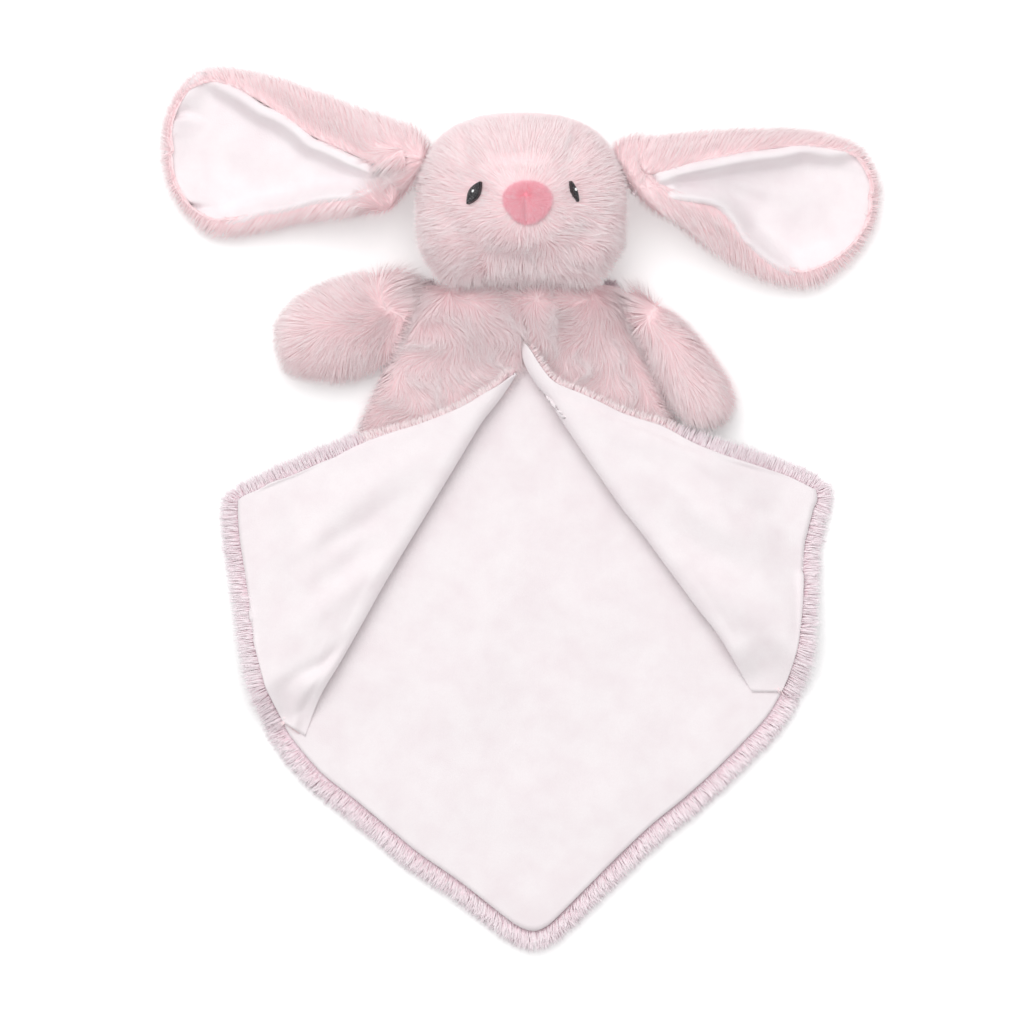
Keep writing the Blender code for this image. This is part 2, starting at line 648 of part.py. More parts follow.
def build_head(plush, filling, nose_velour, thread, white_thread):
    """Three plush panels round a ball of filling, with the nose and the eyes let into the pile."""
    panels = build_head_panels(plush)
    inset = HEAD_WALL + FILLING_CLEARANCE
    rings = [*((step / FILLING_RINGS, inset) for step in range(FILLING_RINGS + 1)), ("neck", inset, 0.0)]
    pieces = [*panels.values(), loft("head_filling", HEAD_AROUND, rings, head_ring, filling)]

    nose_place = face_place(FACE_TURN, NOSE_RISE, 0.0, NOSE_THICKNESS / 4)
    pieces.append(seated_inlay("nose", NOSE_CELLS, (NOSE_WIDTH, NOSE_HEIGHT, NOSE_THICKNESS), nose_place,
                               nose_velour, panels["gusset"], INLAY_CLEARANCE, taper=NOSE_TAPER_SHARE))
    for side, sign in SIDES.items():
        place = face_place(FACE_TURN + sign * EYE_SPACING / 2, NOSE_RISE + EYE_RISE, sign * EYE_TILT,
                           EYE_THICKNESS / 4)
        eye = seated_inlay(f"{side}_eye", EYE_CELLS, (EYE_WIDTH, EYE_LENGTH, EYE_THICKNESS), place, thread,
                           panels[side], INLAY_CLEARANCE, pointed=EYE_POINT_SHARE)
        glint_place = place @ Matrix.Translation((0.0, EYE_LENGTH / 12, EYE_THICKNESS / 2))
        glint = seated_inlay(f"{side}_eye_glint", GLINT_CELLS, (GLINT_WIDTH, GLINT_WIDTH, GLINT_THICKNESS),
                             glint_place, white_thread, eye, GAP)
        pieces += [eye, glint]
    neck_point = (0.0, NECK_Y, CAPE_PLUSH_Z + PLUSH + CHEST_RISE + NECK_GAP)
    return joint_axis("head nod axis", neck_point, (1.0, 0.0), pieces)


# The ears
def ear_root(side):
    """The middle of an ear's root beside the head, the direction along its seam, and the one outward."""
    sign = SIDES[side]
    z = EAR_ROOT_LIFT + EAR_ROOT_HEIGHT / 2 - HEAD_CENTRE.z

    def head_edge(y):
        return Vector((sign * halved(0.0, HEAD_WIDTH, lambda x: is_in_head(Vector((x * sign, y, z)))), y))

    middle_y = HEAD_HEIGHT * EAR_PLACE_SHARE
    reach = EAR_WIDTH * EAR_SEAM_SHARE
    along = (head_edge(middle_y + reach) - head_edge(middle_y - reach)).normalized()
    outward = Vector((along.y, -along.x)) * sign
    return HEAD_CENTRE.xy + head_edge(middle_y) + outward * EAR_CLEARANCE, along, outward


def ear_stations(side):
    """The ear's edge from its root along the upper side to the tip and back along the lower side.

    Each station is a point of the edge, the middle that it looks to, how far in its lip reaches, the height of
    its underside, and half the height of its rim.
    """
    root, along, outward = ear_root(side)
    shares = LEFT_EAR_SHARES if side == "left" else RIGHT_EAR_SHARES
    last = len(shares) - 1

    def plan(share):
        squared = root + Vector((SIDES[side] * share[0] * EAR_LENGTH, share[1] * EAR_WIDTH))
        turned = root + outward * max(share[0], 0.0) * EAR_LENGTH + along * share[1] * EAR_WIDTH
        return turned.lerp(squared, smooth_step(share[0] / EAR_TURN_SHARE))

    def middle(index):
        held = min(max(index, 2), last - 2)
        return (plan(shares[held][0]) + plan(shares[held][1])) / 2

    stations = []
    for step in range(2 * last + 1):
        is_upper = step <= last
        index = step if is_upper else 2 * last - step
        edge, lip = (shares[index][0], shares[index][2]) if is_upper else (shares[index][1], shares[index][3])
        rim = EAR_RIM_HEIGHT + (EAR_ROOT_HEIGHT - EAR_RIM_HEIGHT) * EAR_RIM_SHARES[index]
        roll = EAR_ROLL_SHARES[index] * (1.0 if is_upper else LOWER_ROLL_SHARE)
        rim += (EAR_ROLL_HEIGHT - EAR_RIM_HEIGHT) * roll
        under = EAR_UNDERSIDE_SHARES[index] * EAR_ROOT_LIFT
        stations.append((plan(edge), middle(index), lip * EAR_WIDTH, under, rim / 2))
    return stations


def ear_ring(stations, section, turn):
    """A point of an ear's skin. A section is (degrees or None, share of the lip's turn or None, depth)."""
    degrees, lip_share, depth = section
    edge, middle, lip, under, half = stations[round(turn * (len(stations) - 1))]
    if degrees is None and lip_share is None:
        return Vector((middle.x, middle.y, under + depth))
    lip_turn = math.acos(max(1.0 - lip / half, 0.0))
    angle = math.radians(degrees) if lip_share is None else lip_turn * lip_share
    inset = half - (half - depth) * math.cos(angle)
    if lip_share == 1:
        inset = max(inset, lip)
    at = edge + (middle - edge).normalized() * inset
    return Vector((at.x, at.y, under + half + (half - depth) * math.sin(angle)))


def ear_skin(name, stations, outer, inner, finish_material):
    """A closed skin of an ear between two depths below its surface."""
    steps = [(None, None), *((angle, None) for angle in EAR_RIM_ANGLES)]
    steps += [(None, share) for share in EAR_LIP_SHARES]
    sections = [(*step, outer) for step in steps] + [(*step, inner) for step in steps[::-1]]
    return loft(name, len(stations) - 1, sections, lambda section, turn: ear_ring(stations, section, turn),
                finish_material)


def build_ear(side, head, plush, velour):
    """One ear: the plush back, and the lining in its scoop.

    It lifts about an axis just outside the middle of its rounded root, so the root leaves the head as it turns.
    """
    stations = ear_stations(side)
    lining_depth = EAR_PLUSH + EAR_LINING_CLEARANCE
    pieces = [
        ear_skin(f"{side}_ear_plush", stations, 0.0, EAR_PLUSH, plush),
        ear_skin(f"{side}_ear_lining", stations, lining_depth, lining_depth + EAR_LINING, velour),
    ]
    root, along, outward = ear_root(side)
    middle = root + outward * (EAR_ROOT_HEIGHT / 2 + EAR_AXIS_OUTSET)
    joint_axis(f"{side} ear lift axis", (*middle, EAR_ROOT_LIFT + EAR_ROOT_HEIGHT / 2), along, pieces, head)


# The arms
def arm_stations(side, lines, wall, clearance=0.0):
    """The sections of an arm from its root to its tip: middle, half width, half height, inset and lift."""
    corner, below = lines[side, "body"][:2]
    along = (corner - below).normalized()
    clear = Vector((along.y, -along.x)) * SIDES[side] * ARM_CLEARANCE
    stations = []
    for upper, lower, height in LEFT_ARM_SHARES if side == "left" else RIGHT_ARM_SHARES:
        ends = [corner + clear + Vector((along_share * ARM_LENGTH, across_share * ARM_WIDTH))
                for along_share, across_share in (upper, lower)]
        half_height = height * ARM_HEIGHT / 2
        inset = min(wall, half_height * ARM_ROOT_WALL_SHARE) + clearance
        is_outer = len(stations) > len(LEFT_ARM_SHARES) / 2
        lift = (ARM_HEIGHT / 2 - half_height) * ARM_TIP_LIFT_SHARE if is_outer else 0.0
        stations.append(((ends[0] + ends[1]) / 2, (ends[0] - ends[1]) / 2, half_height, inset, lift))
    return stations


def arm_ring(section, turn):
    """A point of an arm's skin on a section, or the middle of one that is marked as an end."""
    middle, half, height, inset, lift = section[:5]
    is_end = len(section) > 5
    reach = 0.0 if is_end else half.length - inset
    rise = 0.0 if is_end else height - inset
    flat = middle + half.normalized() * reach * math.cos(math.tau * turn)
    z = lift + height - FLOOR_FLAT + rise * math.sin(math.tau * turn)
    return Vector((flat.x, flat.y, max(z, inset)))


def build_arm(side, lines, plush, filling):
    """One arm: a plush sock, open where it is sewn to the body, and the filling in it."""
    outer = arm_stations(side, lines, 0.0)
    inner = arm_stations(side, lines, ARM_WALL)[:-2]
    fill = arm_stations(side, lines, ARM_WALL, FILLING_CLEARANCE)[:-3]
    sock = [(*outer[-1], "end"), *outer[::-1], *inner, (*inner[-1], "end")]
    stuffing = [(*fill[0], "end"), *fill, (*fill[-1], "end")]
    pieces = [
        loft(f"{side}_arm_plush", ARM_AROUND, sock, arm_ring, plush),
        loft(f"{side}_arm_filling", ARM_AROUND, stuffing, arm_ring, filling),
    ]
    middle, half, half_height = outer[0][:3]
    joint_axis(f"{side} arm lift axis", (*middle, 2 * half_height - FLOOR_FLAT), half, pieces)


def main():
    """Builds the toy."""
    clear_scene()
    plush = material("pink plush", (0.90, 0.68, 0.70), 0.9, 0.5)
    velour = material("white velour", (0.93, 0.89, 0.89), 0.8, 0.3)
    filling = material("polyester filling", (0.92, 0.92, 0.90), 0.95)
    nose_velour = material("rose velour", (0.90, 0.30, 0.40), 0.8, 0.3)
    thread = material("black embroidery", (0.02, 0.02, 0.025), 0.4)
    white_thread = material("white embroidery", (0.95, 0.95, 0.95), 0.4)

    lines = blanket_lines(0.0)
    build_blanket(blanket_lines(HEM_PILE), lines, plush, velour)
    build_torso_filling(lines, filling)
    head = build_head(plush, filling, nose_velour, thread, white_thread)
    for side in SIDES:
        build_cape(side, lines, plush, velour)
        build_flap(side, lines, plush, velour)
        build_ear(side, head, plush, velour)
        build_arm(side, lines, plush, filling)


main()
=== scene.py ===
"""Looks of a plush rabbit comforter that lies on its back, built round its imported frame.

Points named as picture points are places in the photograph, taken from straight above at one scale, so that
spot() turns them into places in the frame.
"""

import logging
import math
from dataclasses import dataclass
from enum import Enum
from typing import Callable, Optional, Sequence

import bmesh
import bpy
import numpy as np
from mathutils import Matrix, Vector, noise
from mathutils.bvhtree import BVHTree


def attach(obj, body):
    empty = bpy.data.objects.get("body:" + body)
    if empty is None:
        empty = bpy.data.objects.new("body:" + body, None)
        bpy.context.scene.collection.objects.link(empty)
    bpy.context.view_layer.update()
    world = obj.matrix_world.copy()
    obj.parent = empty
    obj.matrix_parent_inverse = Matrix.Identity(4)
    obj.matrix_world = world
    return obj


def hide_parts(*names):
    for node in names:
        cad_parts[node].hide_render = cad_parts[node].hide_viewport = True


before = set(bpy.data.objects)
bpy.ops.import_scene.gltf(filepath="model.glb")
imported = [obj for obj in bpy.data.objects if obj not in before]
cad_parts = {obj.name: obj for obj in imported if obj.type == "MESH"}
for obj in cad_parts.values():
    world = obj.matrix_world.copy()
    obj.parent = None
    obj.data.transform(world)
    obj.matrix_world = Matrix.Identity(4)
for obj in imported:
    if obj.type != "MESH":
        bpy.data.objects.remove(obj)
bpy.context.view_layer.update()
LOG = logging.getLogger("comforter")

MM = 0.001
PIXEL = 0.52 * MM
PICTURE_ORIGIN = Vector((521.0, 510.0))
PICTURE_MIDDLE = Vector((512.0, 512.0))
PICTURE_SIZE = 1024.0

WELD = 0.02 * MM
NECK_Y = 117.0 * MM
SKY = 0.3
SWIRL_SEED = 5
LINE_SAMPLES = 160
PANEL_CUT = (260 * MM, 345 * MM)
CAPE_CUT = (80 * MM, 260 * MM)
FLAP_CUT = (150 * MM, 205 * MM)
EAR_CUT = (150 * MM, 170 * MM)
EAR_LINING_CUT = (100 * MM, 140 * MM)
FLOOR_CLEARANCE = 0.15 * MM

# Density, share of the length, gathering into tufts, and lie
Lock = tuple[float, float, float, Vector]
Growth = Callable[[Vector, Vector, int], Lock]
Place = Callable[[float, float], Vector]
Points = Sequence[tuple[float, float]]
Finishes = dict[str, bpy.types.Material]

UP_DOWN = (False, False, True)
BARE: Lock = (0.0, 0.0, 0.0, Vector((0.0, 0.0, 0.0)))


class Side(Enum):
    """The toy's own left, on the picture's right, and its own right."""

    LEFT = 1.0
    RIGHT = -1.0

    @property
    def label(self) -> str:
        """The side's name as the frame's nodes spell it."""
        return self.name.lower()


# --- Plan geometry


def spot(px: float, py: float) -> Vector:
    """The place in the frame's plan of a point of the picture."""
    return Vector(((px - PICTURE_ORIGIN.x) * PIXEL, (PICTURE_ORIGIN.y - py) * PIXEL))


def ramp(value: float, low: float = 0.0, high: float = 1.0) -> float:
    """0 below low, 1 above high, and a smooth rise between."""
    held = min(max((value - low) / (high - low), 0.0), 1.0)
    return held * held * (3.0 - 2.0 * held)


def flat(vector: Vector) -> Vector:
    """A place or direction without its height."""
    return Vector((vector.x, vector.y, 0.0))


def bell(distance: float, width: float, power: int = 2) -> float:
    """1 at no distance, falling off smoothly over a width."""
    return math.exp(-((distance / width) ** power))


def rounded(distance: float, radius: float) -> float:
    """How far a rolled edge lies below its top at a distance inside it."""
    return radius - math.sqrt(max(radius**2 - (radius - distance) ** 2, 0.0))


def lies_along(direction: Vector, normal: Vector) -> Vector:
    """The part of a direction that lies in the surface with this normal, with length 1."""
    tangent = direction - normal * direction.dot(normal)
    return tangent.normalized() if tangent.length > 1e-6 else Vector((0.0, 0.0, 0.0))


class Line:
    """A smooth line through points of the plan, sampled evenly along its length."""

    def __init__(self, points: Sequence[Vector], is_smooth: bool = True) -> None:
        """Args: points are its places, and is_smooth rounds it between them."""
        dense = self._rounded(points) if is_smooth and len(points) > 2 else list(points)
        lengths = [0.0]
        for a, b in zip(dense, dense[1:]):
            lengths.append(lengths[-1] + (b - a).length)
        self.points = []
        index = 0
        for step in range(LINE_SAMPLES + 1):
            target = lengths[-1] * step / LINE_SAMPLES
            while index < len(dense) - 2 and lengths[index + 1] < target:
                index += 1
            span = max(lengths[index + 1] - lengths[index], 1e-9)
            self.points.append(dense[index].lerp(dense[index + 1], min((target - lengths[index]) / span, 1.0)))
        self.cloud = np.array([tuple(point) for point in self.points])

    @classmethod
    def from_picture(cls, points: Points) -> "Line":
        """A line through picture points."""
        return cls([spot(*point) for point in points])

    @staticmethod
    def _rounded(points: Sequence[Vector]) -> list[Vector]:
        """Points of a Catmull-Rom curve through the given ones."""
        steps = 12
        dense = []
        for index in range(len(points) - 1):
            a = points[max(index - 1, 0)]
            b, c = points[index], points[index + 1]
            d = points[min(index + 2, len(points) - 1)]
            for step in range(steps):
                t = step / steps
                dense.append(0.5 * ((2 * b) + (c - a) * t + (2 * a - 5 * b + 4 * c - d) * t**2
                                    + (3 * b - a - 3 * c + d) * t**3))
        return [*dense, points[-1].copy()]

    def at(self, share: float) -> Vector:
        """The place at a share of the length."""
        place = min(max(share, 0.0), 1.0) * LINE_SAMPLES
        index = min(int(place), LINE_SAMPLES - 1)
        return self.points[index].lerp(self.points[index + 1], place - index)

    def nearest(self, place: Vector) -> tuple[float, Vector, float]:
        """The distance to a place, the nearest point, and the share of the length where it lies."""
        index = int(((self.cloud - (place.x, place.y)) ** 2).sum(axis=1).argmin())
        return (self.points[index] - place).length, self.points[index], index / LINE_SAMPLES

    def heading(self, share: float) -> Vector:
        """The direction of travel at a share of the length."""
        return (self.at(share + 0.02) - self.at(share - 0.02)).normalized()

    def aside(self, share: float) -> Vector:
        """The direction to the left of travel at a share of the length."""
        heading = self.heading(share)
        return Vector((-heading.y, heading.x))

    def moved_from(self, other: "Line", distance: float) -> "Line":
        """A copy that lies this much farther from another line."""
        points = []
        for index in range(0, LINE_SAMPLES + 1, 8):
            aside = self.aside(index / LINE_SAMPLES)
            away = self.points[index] - other.nearest(self.points[index])[1]
            points.append(self.points[index] + aside * math.copysign(distance, aside.dot(away)))
        return Line(points)


@dataclass
class Patch:
    """A four-sided piece of the plan: top and bottom run across, left and right run along."""

    top: Line
    bottom: Line
    left: Line
    right: Line

    def at(self, across: float, along: float) -> Vector:
        """The place at shares of both directions."""
        ruled = self.top.at(across).lerp(self.bottom.at(across), along)
        ruled = ruled + self.left.at(along).lerp(self.right.at(along), across)
        far = self.bottom.at(0).lerp(self.bottom.at(1), across)
        return ruled - self.top.at(0).lerp(self.top.at(1), across).lerp(far, along)


@dataclass(frozen=True)
class Fold:
    """A soft ridge, or a valley where its height is below zero, along picture points: both sizes are in mm."""

    points: Points
    width: float
    height: float


class Relief:
    """Folds of one sheet, added up."""

    def __init__(self, folds: Sequence[Fold]) -> None:
        """Args: folds are its ridges and valleys."""
        self.folds = [(Line.from_picture(fold.points), fold.width * MM, fold.height * MM) for fold in folds]

    def at(self, place: Vector) -> float:
        """The height that the folds add at a place of the plan."""
        total = 0.0
        for line, width, height in self.folds:
            distance, _, share = line.nearest(place)
            total += height * bell(distance, width) * math.sin(math.pi * min(max(share, 0.08), 0.92))
        return total


# --- Meshes


def bent_grid(cells: tuple[int, int], place: Place) -> bmesh.types.BMesh:
    """A grid whose corners go to place(across, along), both from 0 to 1, with its meeting edges welded."""
    bm = bmesh.new()
    bmesh.ops.create_grid(bm, x_segments=cells[0], y_segments=cells[1], size=0.5)
    for vert in bm.verts:
        vert.co = place(vert.co.x + 0.5, vert.co.y + 0.5)
    bmesh.ops.remove_doubles(bm, verts=bm.verts, dist=WELD)
    return bm


def even_out(bm: bmesh.types.BMesh, times: int, axes: tuple[bool, bool, bool] = (True, True, True)) -> None:
    """Smooths all corners but an open rim, which takes the facets of the frame's coarse forms out."""
    inner = [vert for vert in bm.verts if not vert.is_boundary]
    x, y, z = axes
    for _ in range(times):
        bmesh.ops.smooth_vert(bm, verts=inner, factor=0.5, use_axis_x=x, use_axis_y=y, use_axis_z=z)


def doubled(bm: bmesh.types.BMesh) -> list[bmesh.types.BMVert]:
    """Closes an open grid with a copy of itself, and returns the corners of that copy, which lie on it as yet."""
    made = bmesh.ops.extrude_face_region(bm, geom=bm.faces[:])["geom"]
    return [item for item in made if isinstance(item, bmesh.types.BMVert)]


def thicken(bm: bmesh.types.BMesh, thickness: float) -> None:
    """Closes an open grid, whose faces point up, with a lower face at this depth below it."""
    bmesh.ops.recalc_face_normals(bm, faces=bm.faces)
    if sum(face.normal.z * face.calc_area() for face in bm.faces) < 0:
        bmesh.ops.reverse_faces(bm, faces=bm.faces)
    bm.normal_update()
    up = bm.verts.layers.float_vector.new("up")
    for vert in bm.verts:
        vert[up] = vert.normal
    for vert in doubled(bm):
        vert.co -= vert[up] * thickness


def placed(name: str, mesh: bpy.types.Mesh) -> bpy.types.Object:
    """Puts a mesh into the scene as an object."""
    made = bpy.data.objects.new(name, mesh)
    bpy.context.scene.collection.objects.link(made)
    return made


def numbered(bm: bmesh.types.BMesh, name: str) -> bpy.types.Mesh:
    """A mesh whose corners and faces are numbered by place, so that every run draws the same pile on it."""
    corners = sorted(bm.verts, key=lambda vert: vert.co[:])
    number = {vert: index for index, vert in enumerate(corners)}
    rings = []
    for face in bm.faces:
        ring = [number[vert] for vert in face.verts]
        start = ring.index(min(ring))
        rings.append(ring[start:] + ring[:start])
    mesh = bpy.data.meshes.new(name)
    mesh.from_pydata([vert.co[:] for vert in corners], [], sorted(rings))
    return mesh


def to_object(bm: bmesh.types.BMesh, name: str, finish: bpy.types.Material,
              keeps_order: bool = False) -> bpy.types.Object:
    """Turns a bmesh into a smooth shaded object in the scene, with its faces pointing out.

    Args:
        bm: The bmesh, which is freed.
        name: The object's name.
        finish: Its material.
        keeps_order: Whether its corners keep their numbers.

    Returns:
        The object.
    """
    bmesh.ops.recalc_face_normals(bm, faces=bm.faces)
    if bm.calc_volume(signed=True) < 0:
        bmesh.ops.reverse_faces(bm, faces=bm.faces)
    mesh = bpy.data.meshes.new(name) if keeps_order else numbered(bm, name)
    if keeps_order:
        bm.to_mesh(mesh)
    bm.free()
    mesh.materials.append(finish)
    mesh.shade_smooth()
    return placed(name, mesh)


class Probe:
    """Finds the outside of some of the frame's nodes."""

    def __init__(self, *names: str) -> None:
        """Args: names are the nodes that it looks at."""
        corners, faces = [], []
        for name in names:
            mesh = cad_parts[name].data
            start = len(corners)
            corners += [vert.co.copy() for vert in mesh.vertices]
            faces += [tuple(index + start for index in face.vertices) for face in mesh.polygons]
        self.corners = corners
        self.tree = BVHTree.FromPolygons(corners, faces)

    def top(self, place: Vector, guess: float = 0.0) -> float:
        """The height of the uppermost surface over a place, or of the surface nearest to it at the guess."""
        hit = self.tree.ray_cast(Vector((place.x, place.y, SKY)), Vector((0.0, 0.0, -1.0)))[0]
        return (hit or self.tree.find_nearest(Vector((place.x, place.y, guess)))[0]).z

    def inward(self, start: Vector, target: Vector) -> Optional[Vector]:
        """Where a ray from outside first meets the nodes."""
        return self.tree.ray_cast(start, (target - start).normalized())[0]

    def gap(self, place: Vector) -> float:
        """The distance to the nearest surface."""
        return self.tree.find_nearest(place)[3]

    def axes(self) -> tuple[Vector, list[Vector]]:
        """The middle of the nodes, and their directions from the longest to the shortest."""
        cloud = np.array([tuple(corner) for corner in self.corners])
        middle = (cloud.max(axis=0) + cloud.min(axis=0)) / 2
        _, directions = np.linalg.eigh(np.cov((cloud - cloud.mean(axis=0)).T))
        return Vector(middle), [Vector(directions[:, index]) for index in (2, 1, 0)]


def wrapped(name: str, nodes: Sequence[str], finish: bpy.types.Material, inset: float,
            sculpt: Optional[Callable[[Vector, Vector], float]] = None) -> bpy.types.Object:
    """A closed skin a little inside the common outside of some nodes.

    Args:
        name: The new piece's name.
        nodes: The nodes that it lies inside of.
        finish: Its material.
        inset: How far inside it lies.
        sculpt: How far each place is pushed out along its normal after that.

    Returns:
        The skin's object.
    """
    probe = Probe(*nodes)
    low = Vector(min(corner[i] for corner in probe.corners) for i in range(3))
    high = Vector(max(corner[i] for corner in probe.corners) for i in range(3))
    middle, size = (low + high) / 2, high - low
    bm = bmesh.new()
    bmesh.ops.create_icosphere(bm, subdivisions=6, radius=1.0)
    for vert in bm.verts:
        outward = Vector(vert.co[i] * size[i] for i in range(3))
        hit = probe.inward(middle + outward * 2.0, middle)
        vert.co = hit if hit else middle + outward / 2
    even_out(bm, 3)
    bm.normal_update()
    moved = [(vert.co.copy(), vert.normal.copy()) for vert in bm.verts]
    for vert, (place, normal) in zip(bm.verts, moved):
        vert.co = place - normal * inset
        if sculpt:
            vert.co += normal * sculpt(place, normal)
    even_out(bm, 2)
    return to_object(bm, name, finish)


# --- Node trees and finishes


def linear(colour: str) -> tuple[float, float, float, float]:
    """An sRGB colour, such as f3d3d8, as linear values with full alpha."""
    values = [int(colour[i:i + 2], 16) / 255 for i in (0, 2, 4)]
    return (*((v / 12.92) if v <= 0.04045 else ((v + 0.055) / 1.055) ** 2.4 for v in values), 1.0)


def add(tree: bpy.types.NodeTree, kind: str, links: Optional[dict] = None, **settings: object) -> bpy.types.Node:
    """Adds a node with its settings.

    Args:
        tree: The node tree.
        kind: The node's type.
        links: What each input, by name or number, is linked to, or its value.
        **settings: The node's own properties.

    Returns:
        The node.
    """
    node = tree.nodes.new(kind)
    for key, value in settings.items():
        setattr(node, key, value)
    for key, source in (links or {}).items():
        shown = [socket for socket in node.inputs if socket.enabled]
        target = shown[key] if isinstance(key, int) else next(socket for socket in shown if socket.name == key)
        if isinstance(source, bpy.types.Node):
            source = next(socket for socket in source.outputs if socket.enabled)
        if isinstance(source, bpy.types.NodeSocket):
            tree.links.new(source, target)
        else:
            target.default_value = source
    return node


@dataclass(frozen=True)
class Finish:
    """A cloth or thread with a Principled shader whose colour comes from nodes."""

    name: str
    roughness: float = 0.85
    sheen: float = 0.0
    specular: float = 0.2

    def material(self) -> bpy.types.Material:
        """Makes the material, named for what it is."""
        made = bpy.data.materials.new(self.name)
        made.use_nodes = True
        tree = made.node_tree
        shader = tree.nodes["Principled BSDF"]
        shader.inputs["Roughness"].default_value = self.roughness
        shader.inputs["Sheen Weight"].default_value = self.sheen
        shader.inputs["Specular IOR Level"].default_value = self.specular
        self.paint(tree, shader)
        return made

    def paint(self, tree: bpy.types.NodeTree, shader: bpy.types.Node) -> None:
        """Links the colour and relief."""
        raise NotImplementedError


def grain(tree: bpy.types.NodeTree, size: float, detail: float = 2.0) -> bpy.types.Node:
    """Noise in the object's own space whose blotches have this size."""
    place = add(tree, "ShaderNodeTexCoord")
    return add(tree, "ShaderNodeTexNoise", {"Vector": place.outputs["Object"], "Scale": 1.0 / size, "Detail": detail})


def blended(tree: bpy.types.NodeTree, amount: object, first: object, second: object) -> bpy.types.NodeSocket:
    """The colour between two by an amount."""
    return add(tree, "ShaderNodeMix", {0: amount, 1: first, 2: second}, data_type="RGBA").outputs[2]


@dataclass(frozen=True)
class PlushFinish(Finish):
    """Long pile: deeper at the roots, which is painted shade down in the pile, paler at the tips, each lock a little
    different.
    """

    # Deeper pink at the roots: painted shade down in the pile
    root: str = "ffdfe3"
    tip: str = "fffafa"
    warm: str = "ffeff1"

    def paint(self, tree: bpy.types.NodeTree, shader: bpy.types.Node) -> None:
        """The deeper root colour is painted shade that gives the eye the depth of the pile; tips and locks give its
        fine streaks.
        """
        along = add(tree, "ShaderNodeAttribute", attribute_name="along")
        shade = add(tree, "ShaderNodeAttribute", attribute_name="shade")
        patch = grain(tree, 18 * MM)
        lock = blended(tree, shade.outputs["Fac"], linear(self.warm), linear(self.tip))
        lock = blended(tree, add(tree, "ShaderNodeMapRange", {"Value": patch.outputs["Fac"], "From Min": 0.35,
                                                             "From Max": 0.7, "To Max": 0.45}), lock,
                       linear(self.warm))
        # Painted shade: from the deeper root colour at the foot of each lock to the locks' own colours
        depth = add(tree, "ShaderNodeMapRange", {"Value": along.outputs["Fac"], "From Min": 0.0, "From Max": 0.75})
        tree.links.new(blended(tree, depth, linear(self.root), lock), shader.inputs["Base Color"])


@dataclass(frozen=True)
class BackingFinish(Finish):
    """The knitted ground that the pile stands on."""

    colour: str = "ffebed"
    dark: str = "fee1e4"

    def paint(self, tree: bpy.types.NodeTree, shader: bpy.types.Node) -> None:
        """Fine mottling shows between the locks."""
        mottle = grain(tree, 2.0 * MM)
        tree.links.new(blended(tree, mottle.outputs["Fac"], linear(self.colour), linear(self.dark)),
                       shader.inputs["Base Color"])


@dataclass(frozen=True)
class VelourFinish(Finish):
    """Short pile cut level: nearly even, with clouds of painted sheen from the brushing, specks of painted shade, and
    a fine nap.
    """

    colour: str = "f8f1f3"
    # The darker colour of the painted sheen's clouds and of the painted shade in the nap's specks
    shade: str = "f3e9ec"
    nap: float = 0.7 * MM
    depth: float = 0.3

    def paint(self, tree: bpy.types.NodeTree, shader: bpy.types.Node) -> None:
        """Lighter and darker clouds of painted sheen where the brushed nap lies different ways, fine darker specks of
        painted shade among its tufts, and a relief of its single tufts.
        """
        cloud = grain(tree, 14 * MM, 3.0)
        fine = grain(tree, self.nap, 1.0)
        # Painted sheen: lighter and darker clouds of the brushed nap
        amount = add(tree, "ShaderNodeMapRange", {"Value": cloud.outputs["Fac"], "From Min": 0.35, "From Max": 0.7})
        base = blended(tree, amount, linear(self.colour), linear(self.shade))
        # Painted shade: fine darker specks among the nap's tufts
        speck = add(tree, "ShaderNodeMapRange", {"Value": fine.outputs["Fac"], "From Min": 0.3, "From Max": 0.8,
                                                 "To Max": 0.35})
        tree.links.new(blended(tree, speck, base, linear(self.shade)), shader.inputs["Base Color"])
        bump = add(tree, "ShaderNodeBump", {"Height": fine.outputs["Fac"], "Strength": self.depth,
                                            "Distance": 0.3 * MM})
        tree.links.new(bump.outputs["Normal"], shader.inputs["Normal"])


@dataclass(frozen=True)
class ThreadFinish(Finish):
    """Glossy embroidery thread."""

    colour: str = "0b0a0b"
    light: str = "1d1b1e"
    # The pale grey of the thin streaks that are painted highlights on the satin stitches
    worn: str = "8f8b90"

    def paint(self, tree: bpy.types.NodeTree, shader: bpy.types.Node) -> None:
        """A slight change of depth from stitch to stitch, and thin pale streaks that are painted highlights on the
        thread.
        """
        fine = grain(tree, 0.8 * MM)
        base = blended(tree, fine.outputs["Fac"], linear(self.colour), linear(self.light))
        # Painted highlight: thin pale streaks where the thread would shine
        streak = add(tree, "ShaderNodeMapRange", {"Value": grain(tree, 0.5 * MM).outputs["Fac"], "From Min": 0.56,
                                                  "From Max": 0.64, "To Max": 0.7})
        tree.links.new(blended(tree, streak, base, linear(self.worn)), shader.inputs["Base Color"])


# --- Pile


